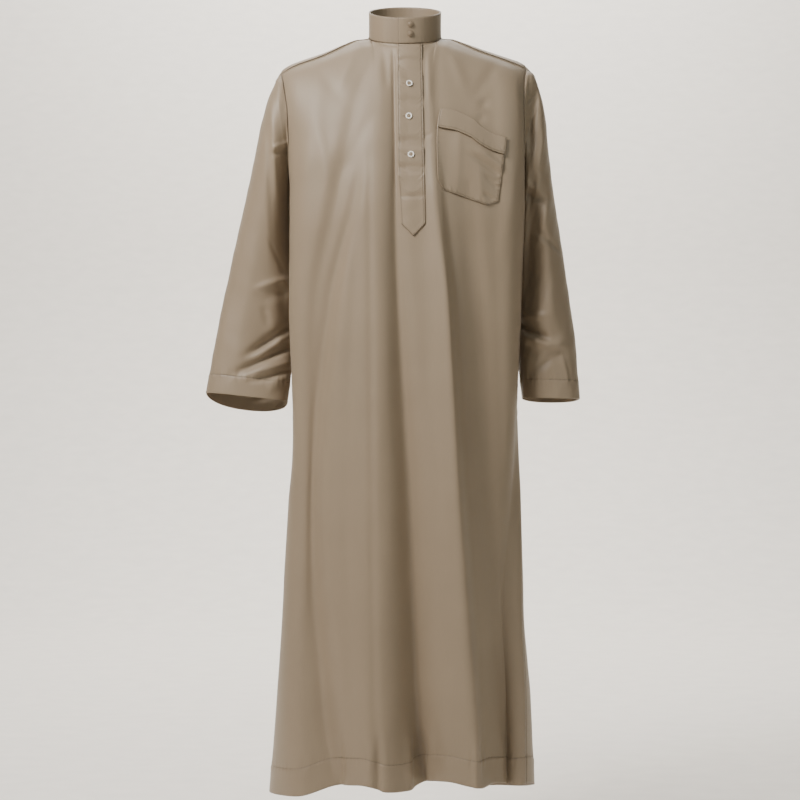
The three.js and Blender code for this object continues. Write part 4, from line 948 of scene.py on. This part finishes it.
def cloth_piece(name, surface, wall, closed=False, flipped=False, skip=None):
    """A closed thin shell under a grid of outer points, its sewn lines kept as attributes."""
    points, line, run = surface
    rows, columns = points.shape[:2]
    inner = points - normals_of(points, closed) * (-wall if flipped else wall)
    cells = grid_faces(rows, columns, closed)
    kept = np.ones((rows - 1, columns if closed else columns - 1), bool) if skip is None else ~skip
    count = rows * columns
    outer_faces = cells[kept.ravel()]
    rims = rim_faces(kept, columns, closed)
    rims = np.stack([rims[:, 1], rims[:, 0], rims[:, 0] + count, rims[:, 1] + count], -1)
    faces = np.concatenate([outer_faces, outer_faces[:, ::-1] + count, rims])
    if flipped:
        faces = faces[:, ::-1]
    used, faces = np.unique(faces, return_inverse=True)
    faces = faces.reshape(-1, 4)
    vertices = np.concatenate([points.reshape(-1, 3), inner.reshape(-1, 3)])[used]
    piece = new_mesh(name, vertices, faces, np.arange(len(faces)) < len(faces) - len(rims))
    mesh = piece.data
    for label, values in (("line", line), ("run", run)):
        attribute = mesh.attributes.new(label, "FLOAT", "POINT")
        attribute.data.foreach_set("value", np.tile(values.ravel(), 2)[used].astype(np.float32))
    places = np.stack([lengths(points, 1), lengths(points, 0)], -1).reshape(-1, 2)
    places = np.tile(places, (2, 1))[used]
    corners = np.zeros(len(mesh.loops), int)
    mesh.loops.foreach_get("vertex_index", corners)
    cloth_map = mesh.uv_layers.new(name="cloth")
    cloth_map.uv.foreach_set("vector", places[corners].astype(np.float32).ravel())
    return piece


def rim_faces(kept, columns, closed):
    """Edges, as pairs of outer corner numbers, between kept cells and open space."""
    padded = np.pad(kept, 1)
    if closed:
        padded[1:-1, 0], padded[1:-1, -1] = kept[:, -1], kept[:, 0]
    row, column = np.nonzero(kept)
    after = (column + 1) % columns
    lower, upper = row * columns, (row + 1) * columns
    sides = [
        (-1, 0, lower + column, lower + after),
        (0, 1, lower + after, upper + after),
        (1, 0, upper + after, upper + column),
        (0, -1, upper + column, lower + column),
    ]
    rims = []
    for step_row, step_column, first, second in sides:
        is_open = ~padded[row + 1 + step_row, column + 1 + step_column]
        rims.append(np.stack([first[is_open], second[is_open]], -1))
    return np.concatenate(rims)


def turned(name, profile, segments, place, normal):
    """A turned body, from rows of radius and height, standing on a place along its normal."""
    turns = np.linspace(0, 2 * math.pi, segments, endpoint=False)
    rings = np.array([[(r * math.cos(t), r * math.sin(t), h) for t in turns] for r, h in profile])
    rotation = Vector((0, 0, 1)).rotation_difference(Vector(normal)).to_matrix()
    vertices = rings.reshape(-1, 3) @ np.array(rotation).T + place
    return new_mesh(name, vertices, grid_faces(len(profile), segments, closed=True))


def sampled(points, row, column, lift=STITCH_LIFT):
    """Points over a surface at fractional rows and columns, and its normals there."""
    row, column = np.broadcast_arrays(np.asarray(row, float), np.asarray(column, float))
    r = np.clip(row.astype(int), 0, points.shape[0] - 2)
    c = np.clip(column.astype(int), 0, points.shape[1] - 2)
    fr, fc = (row - r)[..., None], (column - c)[..., None]

    def blend(values):
        low = lerp(values[r, c], values[r, c + 1], fc)
        return lerp(low, lerp(values[r + 1, c], values[r + 1, c + 1], fc), fr)

    normals = unit(blend(normals_of(points)))
    return blend(points) + normals * lift, normals * math.copysign(1, lift)


def stitches(name, runs, length, gap, radius):
    """Rows of single stitches along lines on the cloth. Each is a small spindle."""
    spindle = [(0, 1 + k, 1 + (k + 1) % 4, 1 + (k + 1) % 4) for k in range(4)]
    spindle += [(1 + k, 5 + k, 5 + (k + 1) % 4, 1 + (k + 1) % 4) for k in range(4)]
    spindle += [(5 + k, 9, 5 + (k + 1) % 4, 5 + (k + 1) % 4) for k in range(4)]
    vertices, faces = [], []
    for points, normals in runs:
        way = lengths(points, 0)
        middles = np.arange(length / 2, way[-1] - length / 2, length + gap)

        def at(places, values):
            return np.stack([np.interp(places, way, values[:, k]) for k in range(3)], -1)

        start, end = at(middles - length / 2, points), at(middles + length / 2, points)
        up = unit(at(middles, normals)) * radius
        side = unit(np.cross(end - start, up)) * radius
        rings = [start - 0.4 * up]
        for share in (0.22, 0.78):
            middle = lerp(start, end, share) + 0.5 * up
            rings += [middle + side, middle + up, middle - side, middle - up]
        rings.append(end - 0.4 * up)
        base = sum(map(len, vertices)) + np.arange(len(start))[:, None, None] * len(rings)
        faces.append((np.array(spindle)[None] + base).reshape(-1, 4))
        vertices.append(np.stack(rings, 1).reshape(-1, 3))
    faces = [list(dict.fromkeys(face)) for face in np.concatenate(faces).tolist()]
    return new_mesh(name, np.concatenate(vertices), faces)


def loop_tube(name, path, normal, radius, sides=8):
    """A closed thread tube along a loop."""
    side = unit(np.cross(unit(np.roll(path, -1, 0) - np.roll(path, 1, 0)), normal))
    turns = np.linspace(0, 2 * math.pi, sides, endpoint=False)[None, :, None]
    rings = path[:, None] + radius * (np.cos(turns) * side[:, None] + np.sin(turns) * normal)
    rings = np.concatenate([rings, rings[:1]])
    return new_mesh(name, rings.reshape(-1, 3), grid_faces(len(rings), sides, closed=True))


# ---- materials ------------------------------------------------------------------------------
def set_inputs(tree, node, inputs):
    """Sets inputs, by name or number, or joins them to another node's output."""
    for name, value in inputs.items():
        if isinstance(value, bpy.types.NodeSocket):
            tree.links.new(value, node.inputs[name])
        else:
            node.inputs[name].default_value = value


def add_node(tree, kind, inputs, **settings):
    node = tree.nodes.new("ShaderNode" + kind)
    for name, value in settings.items():
        setattr(node, name, value)
    set_inputs(tree, node, inputs)
    return node


def maths(tree, operation, *values):
    return add_node(tree, "Math", dict(enumerate(values)), operation=operation).outputs[0]


def weighted(tree, terms, plus):
    """A sum of sockets times their weights, and one more."""
    total, *others = [maths(tree, "MULTIPLY", socket, weight) for socket, weight in terms]
    for other in (*others, plus):
        total = maths(tree, "ADD", total, other)
    return total


def noise(tree, dimensions, **inputs):
    inputs = {name.capitalize(): value for name, value in inputs.items()}
    return add_node(tree, "TexNoise", inputs, noise_dimensions=dimensions).outputs["Fac"]


def line_bell(tree, distance, width):
    """1 on a line, falling off over the width."""
    share = maths(tree, "DIVIDE", distance, width)
    return maths(tree, "EXPONENT", maths(tree, "MULTIPLY", maths(tree, "MULTIPLY", share, share), -1.0))


def group_tree(name, inputs, outputs):
    """A node group, the sockets that it is given, and those of its results."""
    tree = bpy.data.node_groups.new(name, "ShaderNodeTree")
    for label, default in inputs.items():
        kind = "NodeSocketVector" if default is None else "NodeSocketFloat"
        socket = tree.interface.new_socket(label, in_out="INPUT", socket_type=kind)
        if default is not None:
            socket.default_value = default
    for label in outputs:
        tree.interface.new_socket(label, in_out="OUTPUT", socket_type="NodeSocketFloat")
    return tree, tree.nodes.new("NodeGroupInput").outputs, tree.nodes.new("NodeGroupOutput")


@lru_cache(None)
def weave_group():
    """Fine satin ribs with slubs, and the broad uneven tone of the cloth."""
    tree, given, results = group_tree("Satin weave", {"Place": None, "Pitch": 0.0005},
                                      ["Height", "Tone"])
    scale = maths(tree, "DIVIDE", 1.0, given["Pitch"])
    scaled = add_node(tree, "VectorMath", {0: given["Place"], "Scale": scale}, operation="SCALE")
    threads = add_node(tree, "SeparateXYZ", {0: scaled.outputs[0]}).outputs
    ribs = maths(tree, "SINE", maths(tree, "MULTIPLY", threads[0], 2 * math.pi))
    floats = maths(tree, "SINE", maths(tree, "MULTIPLY", threads[1], 0.8 * math.pi))
    slub_place = add_node(tree, "VectorMath", {0: given["Place"], 1: (900.0, 45.0, 0.0)},
                          operation="MULTIPLY")
    slub = noise(tree, "2D", scale=1.0, vector=slub_place.outputs[0])
    broad = noise(tree, "2D", scale=9.0, vector=given["Place"])
    set_inputs(tree, results, {"Height": weighted(tree, [(ribs, 0.5), (floats, 0.2)], slub),
                               "Tone": weighted(tree, [(broad, 0.10), (slub, 0.08)], 0.91)})
    return tree


@lru_cache(None)
def sewn_group():
    """A pressed-in sewn line with small puckers beside it, and shade painted into the colour along its
    groove.
    """
    tree, given, results = group_tree("Sewn line", {"Distance": 0.0, "Run": 0.0, "Width": 0.0012},
                                      ["Height", "Shade"])
    groove = line_bell(tree, given["Distance"], given["Width"])
    near = line_bell(tree, given["Distance"], 0.008)
    ripple = noise(tree, "1D", scale=1.0, detail=1.0, w=maths(tree, "MULTIPLY", given["Run"], 160.0))
    waves = maths(tree, "MULTIPLY", maths(tree, "SUBTRACT", ripple, 0.5), near)
    height = maths(tree, "SUBTRACT", waves, maths(tree, "MULTIPLY", groove, 0.6))
    # Painted shade: the groove darkens the cloth's colour, more where the ripple is high, standing in for
    # the shade that falls in it.
    shade = maths(tree, "MULTIPLY", groove, weighted(tree, [(ripple, 0.5)], 0.05))
    set_inputs(tree, results, {"Height": height, "Shade": shade})
    return tree


def new_material(name, colour, inputs):
    """A material, its tree, its shader, and the input for the tone that its colour takes."""
    material = bpy.data.materials.new(name)
    material.use_nodes = True
    tree = material.node_tree
    shader = tree.nodes["Principled BSDF"]
    toned = add_node(tree, "VectorMath", {0: colour[:3]}, operation="SCALE")
    set_inputs(tree, shader, {**inputs, "Base Color": toned.outputs[0]})
    return material, tree, shader, toned


def bump(tree, height, strength, distance, under=None):
    inputs = {"Height": height, "Strength": strength, "Distance": distance}
    if under:
        inputs["Normal"] = under
    return add_node(tree, "Bump", inputs).outputs[0]


def cloth_material(name, colour, roughness):
    material, tree, shader, toned = new_material(name, colour, {
        "Roughness": roughness, "Specular IOR Level": 0.42, "Sheen Weight": 0.08,
        "Sheen Roughness": 0.38, "Sheen Tint": (1.0, 0.93, 0.84, 1)})
    place = add_node(tree, "UVMap", {}, uv_map="cloth").outputs[0]
    weave = add_node(tree, "Group", {}, node_tree=weave_group())
    set_inputs(tree, weave, {"Place": place, "Pitch": 0.0005})
    line, run = (add_node(tree, "Attribute", {}, attribute_name=label).outputs["Fac"]
                 for label in ("line", "run"))
    sewn = add_node(tree, "Group", {}, node_tree=sewn_group())
    set_inputs(tree, sewn, {"Distance": line, "Run": run, "Width": 0.0010})
    # The sewn lines' painted shade darkens the cloth's colour here.
    lit = maths(tree, "SUBTRACT", 1.0, sewn.outputs["Shade"])
    set_inputs(tree, toned, {"Scale": maths(tree, "MULTIPLY", weave.outputs["Tone"], lit)})
    fine = bump(tree, weave.outputs["Height"], 0.16, 0.00012)
    sewing = bump(tree, sewn.outputs["Height"], 0.8, 0.0009, under=fine)
    set_inputs(tree, shader, {"Normal": sewing})
    return material


def plain_material(name, colour, roughness, coat=0.0):
    material, tree, _, toned = new_material(name, colour, {"Roughness": roughness,
                                                           "Coat Weight": coat})
    grain = noise(tree, "3D", scale=240.0)
    set_inputs(tree, toned, {"Scale": weighted(tree, [(grain, 0.12)], 0.94)})
    return material


def material_for(kind):
    """The material of one kind, made once from the colours in the panel."""
    name = f"kurta {kind}"
    if name in bpy.data.materials:
        return bpy.data.materials[name]
    looks = bpy.context.scene.kurta_looks
    if kind == "cloth":
        return cloth_material(name, looks.cloth, looks.cloth_roughness)
    if kind == "button":
        return plain_material(name, looks.button, 0.25, coat=0.3)
    if kind == "thread":
        return plain_material(name, looks.thread, 0.5)
    return plain_material(name, looks.floor, 0.9)


def finish_piece(piece, kind, replaced=()):
    piece.data.materials.append(material_for(kind))
    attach(piece, "root")
    if replaced:
        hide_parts(*replaced)
    return piece


def sewn_piece(name, surface, wall, replaced, **shell):
    """A piece of cloth that stands for the solids that it replaces."""
    return finish_piece(cloth_piece(name, surface, wall, **shell), "cloth", replaced)


# ---- the add-on -----------------------------------------------------------------------------
def length_property(name, description, default):
    return bpy.props.FloatProperty(
        name=name, description=description, default=default, unit="LENGTH")


def colour_property(name, description, *default):
    return bpy.props.FloatVectorProperty(
        name=name, description=description, size=4, subtype="COLOR", default=(*default, 1))


class KurtaSizes(bpy.types.PropertyGroup):
    cloth_thickness: length_property("Cloth thickness", "Wall of one layer as it is shown", 0.0011)
    stitch_length: length_property("Stitch length", "Length of one stitch", 0.0026)
    stitch_gap: length_property("Stitch gap", "Space between two stitches", 0.0008)
    thread_radius: length_property("Thread radius", "Half the thread's thickness", 0.00022)


class KurtaLooks(bpy.types.PropertyGroup):
    cloth: colour_property("Cloth", "Colour of the cloth", 0.258, 0.200, 0.137)
    cloth_roughness: bpy.props.FloatProperty(
        name="Cloth roughness", description="How dull the cloth is", default=0.5, min=0, max=1)
    button: colour_property("Button", "Colour of the buttons", 0.92, 0.89, 0.83)
    thread: colour_property("Thread", "Colour of the sewing thread", 0.20, 0.150, 0.098)
    floor: colour_property("Floor", "Colour of the studio floor", 0.97, 0.925, 0.855)


class BuildOperator:
    bl_options = {"REGISTER", "UNDO"}

    def execute(self, context):
        self.build(context.scene.kurta_sizes)
        return {"FINISHED"}


class KURTA_OT_front(BuildOperator, bpy.types.Operator):
    """Build the front panel"""
    bl_idname = "kurta.front"
    bl_label = "Front"

    def build(self, sizes):
        surface = front_surface()
        z = surface[0][:-1, :-1, 2]
        column = np.arange(z.shape[1]) // FRONT_FINE
        skip = (column == SLIT_COLUMN) & (z > SLIT_BOTTOM_Z)
        piece = sewn_piece("front_cloth", surface, sizes.cloth_thickness,
                           ["front_chest", "front_skirt"], skip=skip)


class KURTA_OT_back(BuildOperator, bpy.types.Operator):
    """Build the back panel"""
    bl_idname = "kurta.back"
    bl_label = "Back"

    def build(self, sizes):
        piece = sewn_piece("back_cloth", back_surface(), sizes.cloth_thickness,
                           ["back_chest", "back_skirt"])


class KURTA_OT_sleeves(BuildOperator, bpy.types.Operator):
    """Build the two sleeves"""
    bl_idname = "kurta.sleeves"
    bl_label = "Sleeves"

    def build(self, sizes):
        for side, sleeve in SLEEVES.items():
            piece = sewn_piece(f"sleeve_{sleeve.name}_cloth", sleeve_surface(side),
                               sizes.cloth_thickness, [f"sleeve_{sleeve.name}"],
                               closed=True, flipped=side < 0)


class KURTA_OT_collar(BuildOperator, bpy.types.Operator):
    """Build the band collar"""
    bl_idname = "kurta.collar"
    bl_label = "Collar"

    def build(self, sizes):
        piece = sewn_piece("collar_cloth", collar_surface(), STAND_CLOTH, ["collar"])


class KURTA_OT_placket(BuildOperator, bpy.types.Operator):
    """Build the placket's two strips"""
    bl_idname = "kurta.placket"
    bl_label = "Placket"

    def build(self, sizes):
        top = sewn_piece("placket_cloth", placket_surface(), LAID_CLOTH, ["placket"])
        under = sewn_piece("under_placket_cloth", placket_surface(is_under=True), LAID_CLOTH,
                           ["under_placket"])


class KURTA_OT_pocket(BuildOperator, bpy.types.Operator):
    """Build the chest pocket and its band"""
    bl_idname = "kurta.pocket"
    bl_label = "Chest pocket"

    def build(self, sizes):
        pocket = sewn_piece("chest_pocket_cloth", pocket_surface(), LAID_CLOTH, ["chest_pocket"])
        band = sewn_piece("pocket_band_cloth", pocket_surface(is_band=True), LAID_CLOTH,
                          ["pocket_band"])


class KURTA_OT_buttons(BuildOperator, bpy.types.Operator):
    """Build the placket's buttons and the collar's studs"""
    bl_idname = "kurta.buttons"
    bl_label = "Buttons and studs"

    def build(self, sizes):
        for i, spot in enumerate(BUTTON_SPOTS, 1):
            place, normal = on_placket(spot)
            button = turned(f"button_{i}_body", BUTTON_PROFILE, 40, place, normal)
            finish_piece(button, "button", [f"button_{i}"])
            centre = turned(f"button_{i}_centre", BUTTON_CENTRE_PROFILE, 28, place, normal)
            finish_piece(centre, "thread")
        for i, rise in enumerate(STUD_RISES, 1):
            level, angle = grid([rise - MM, rise + MM], [STUD_ANGLE - 1, STUD_ANGLE + 1])
            patch = collar_point(angle, level, 0 * level)
            normal = normals_of(patch).mean((0, 1))
            place = patch.mean((0, 1)) + normal * STUD_LIFT
            stud = turned(f"collar_stud_{i}_body", STUD_PROFILE, 40, place, normal)
            finish_piece(stud, "thread", [f"collar_stud_{i}"])


def on_placket(spot):
    """The placket's own surface at (x, z), and its normal."""
    points = placket_surface()[0]
    away = np.hypot(points[..., 0] - spot.x, points[..., 2] - spot.z)
    nearest_point = np.unravel_index(away.argmin(), away.shape)
    return points[nearest_point], normals_of(points)[nearest_point]


class KURTA_OT_sewing(BuildOperator, bpy.types.Operator):
    """Sew the edges, hems and buttonholes"""
    bl_idname = "kurta.sewing"
    bl_label = "Sewing"

    def build(self, sizes):
        runs = hem_runs() + cuff_runs() + placket_runs() + pocket_runs() + shoulder_runs()
        piece = stitches("stitching", runs, sizes.stitch_length, sizes.stitch_gap, sizes.thread_radius)
        finish_piece(piece, "thread")
        for i, spot in enumerate(BUTTON_SPOTS, 1):
            piece = buttonhole(f"buttonhole_{i}", spot, sizes.thread_radius)
            finish_piece(piece, "thread")


def turn_run(points, up, heights, lift=STITCH_LIFT):
    """The line that holds a turned edge: the place in each column at a length up the cloth."""
    row = [np.interp(height, column, np.arange(len(up))) for height, column in zip(heights, up.T)]
    return sampled(points, row, np.arange(len(heights)), lift)


def hem_runs():
    runs = []
    for points in (front_surface()[0], back_surface()[0]):
        up = lengths(points, 0)
        runs.append(turn_run(points, up, HEM_TURN + 0 * up[0]))
    return runs


def cuff_runs():
    runs = []
    for side in SLEEVES:
        points = sleeve_surface(side)[0]
        points = np.concatenate([points, points[:, :1]], 1)
        up = lengths(points, 0)
        runs.append(turn_run(points, up, up[-1] - CUFF_TURN, side * STITCH_LIFT))
    return runs


def placket_runs():
    points = placket_surface()[0]
    rows, columns = points.shape[:2]
    inset = STITCH_INSET / lengths(points, 1)[:, -1].mean() * (columns - 1)
    runs = [sampled(points, np.linspace(0, rows - 1, 400), columns - 1 - inset),
            sampled(points, np.linspace(0, rows * 0.2, 90), inset)]
    for z in CROSS_STITCH_ROWS:
        row = np.abs(points[:, columns // 2, 2] - z).argmin()
        runs.append(sampled(points, row, np.linspace(1, columns - 2, 50)))
    runs.append(sampled(points, 1.4, np.linspace(inset, columns - 1 - inset, 60)))
    return runs


def pocket_runs():
    pocket, band = pocket_surface()[0], pocket_surface(is_band=True)[0]
    rows, columns = pocket.shape[:2]
    ends = (1.3, columns - 2.3)
    runs = [sampled(pocket, np.linspace(1.5, rows * 0.84, 160), column) for column in ends]
    runs.append(sampled(pocket, 1.5, np.linspace(*ends, 120)))
    runs.append(sampled(band, 2.0, np.linspace(0.5, band.shape[1] - 1.5, 120)))
    return runs


def shoulder_runs():
    points = back_surface()[0]
    rows, columns = points.shape[:2]
    ends = [(1, BACK_FINE * BACK_NECK[0] - 2), (BACK_FINE * BACK_NECK[1] + 2, columns - 2)]
    return [sampled(points, rows - 3.0, np.linspace(*end, 80)) for end in ends]


def buttonhole(name, spot, radius):
    """A thread-bound hole that runs to the wearer's right from under the button."""
    half, round_end, shift = 0.0062, 0.0011, 0.0052
    turn = np.linspace(0, 2 * math.pi, 48, endpoint=False)
    x = spot.x - shift + half * np.cos(turn)
    z = spot.z + round_end * np.sign(np.sin(turn)) * np.abs(np.sin(turn)) ** 0.4
    y = [on_placket(Spot(px, pz))[0][1] for px, pz in zip(x, z)]
    return loop_tube(name, np.stack([x, y, z], -1), on_placket(spot)[1], 1.6 * radius)


class KURTA_OT_stage(BuildOperator, bpy.types.Operator):
    """Build the studio: floor, lights and camera"""
    bl_idname = "kurta.stage"
    bl_label = "Studio"

    def build(self, sizes):
        build_floor()
        build_lights()
        build_camera()


FLOOR_Z = -1.52
FLOOR_FRONT_Y = -7.0
FLOOR_HALF_WIDTH = 9.0
SWEEP_RADIUS = 1.6
SWEEP_Y = 4.8
BACKDROP_TOP_Z = 5.5
WORLD_COLOUR = (0.95, 0.97, 0.93, 1)
WORLD_STRENGTH = 0.06
CAMERA_PLACE = (-0.009, -3.1, -0.648)
CAMERA_SPAN = 1.44              # width seen in the plane of the shoulders
Lamp = namedtuple("Lamp", "name place aim size power colour")
LAMPS = [
    Lamp("key", (-1.4, -1.45, 1.1), (0, 0, -0.14), 0.8, 94, (1.0, 0.96, 0.92)),
    Lamp("fill", (2.2, -2.2, 0.8), (0, 0, 0.2), 1.4, 23, (0.96, 1.0, 0.92)),
    Lamp("top", (-0.4, -0.6, 2.2), (0, 0, -0.3), 1.4, 14, (1.0, 1.0, 1.0)),
    Lamp("backdrop", (0, 2.6, 3.0), (0, 4.8, -0.6), 3.0, 330, (1.0, 0.98, 0.95)),
]


def build_floor():
    """A floor that sweeps up into a backdrop."""
    start = SWEEP_Y - SWEEP_RADIUS
    profile = [(FLOOR_FRONT_Y, FLOOR_Z), (start, FLOOR_Z)]
    profile += [(start + SWEEP_RADIUS * math.sin(t), FLOOR_Z + SWEEP_RADIUS * (1 - math.cos(t)))
                for t in np.linspace(0, math.pi / 2, 16)]
    profile.append((SWEEP_Y, BACKDROP_TOP_Z))
    rows = [(x, y, z) for y, z in profile for x in (-FLOOR_HALF_WIDTH, FLOOR_HALF_WIDTH)]
    floor = new_mesh("floor", rows, grid_faces(len(profile), 2))
    floor.data.materials.append(material_for("floor"))


def build_lights():
    for lamp in LAMPS:
        data = bpy.data.lights.new(lamp.name, "AREA")
        data.size, data.energy, data.color = lamp.size, lamp.power, lamp.colour
        light = link_object(lamp.name, data)
        light.location = lamp.place
        aim = Vector(lamp.aim) - Vector(lamp.place)
        light.rotation_euler = aim.to_track_quat("-Z", "Y").to_euler()
    world = bpy.data.worlds.new("studio")
    world.use_nodes = True
    background = world.node_tree.nodes["Background"]
    background.inputs["Color"].default_value = WORLD_COLOUR
    background.inputs["Strength"].default_value = WORLD_STRENGTH
    bpy.context.scene.world = world


def build_camera():
    data = bpy.data.cameras.new("camera")
    data.sensor_fit = "HORIZONTAL"
    data.angle = 2 * math.atan(CAMERA_SPAN / 2 / -CAMERA_PLACE[1])
    camera = link_object("camera", data)
    camera.location = CAMERA_PLACE
    camera.rotation_euler = (math.pi / 2, 0, 0)
    bpy.context.scene.camera = camera


OPERATORS = [KURTA_OT_front, KURTA_OT_back, KURTA_OT_sleeves, KURTA_OT_collar, KURTA_OT_placket,
             KURTA_OT_pocket, KURTA_OT_buttons, KURTA_OT_sewing, KURTA_OT_stage]


class KURTA_PT_panel(bpy.types.Panel):
    """Sizes, colours and the pieces of the kurta"""
    bl_idname = "KURTA_PT_panel"
    bl_label = "Kurta"
    bl_space_type = "VIEW_3D"
    bl_region_type = "UI"
    bl_category = "Kurta"

    def draw(self, context):
        for group in (context.scene.kurta_sizes, context.scene.kurta_looks):
            for name in group.__annotations__:
                self.layout.prop(group, name)
        for operator in OPERATORS:
            self.layout.operator(operator.bl_idname)


CLASSES = [KurtaSizes, KurtaLooks, *OPERATORS, KURTA_PT_panel]


def register():
    for each in CLASSES:
        bpy.utils.register_class(each)
    bpy.types.Scene.kurta_sizes = bpy.props.PointerProperty(type=KurtaSizes)
    bpy.types.Scene.kurta_looks = bpy.props.PointerProperty(type=KurtaLooks)


def unregister():
    del bpy.types.Scene.kurta_looks
    del bpy.types.Scene.kurta_sizes
    for each in reversed(CLASSES):
        bpy.utils.unregister_class(each)


def main():
    register()
    for operator in OPERATORS:
        group, name = operator.bl_idname.split(".")
        getattr(getattr(bpy.ops, group), name)()


if __name__ == "__main__":
    main()
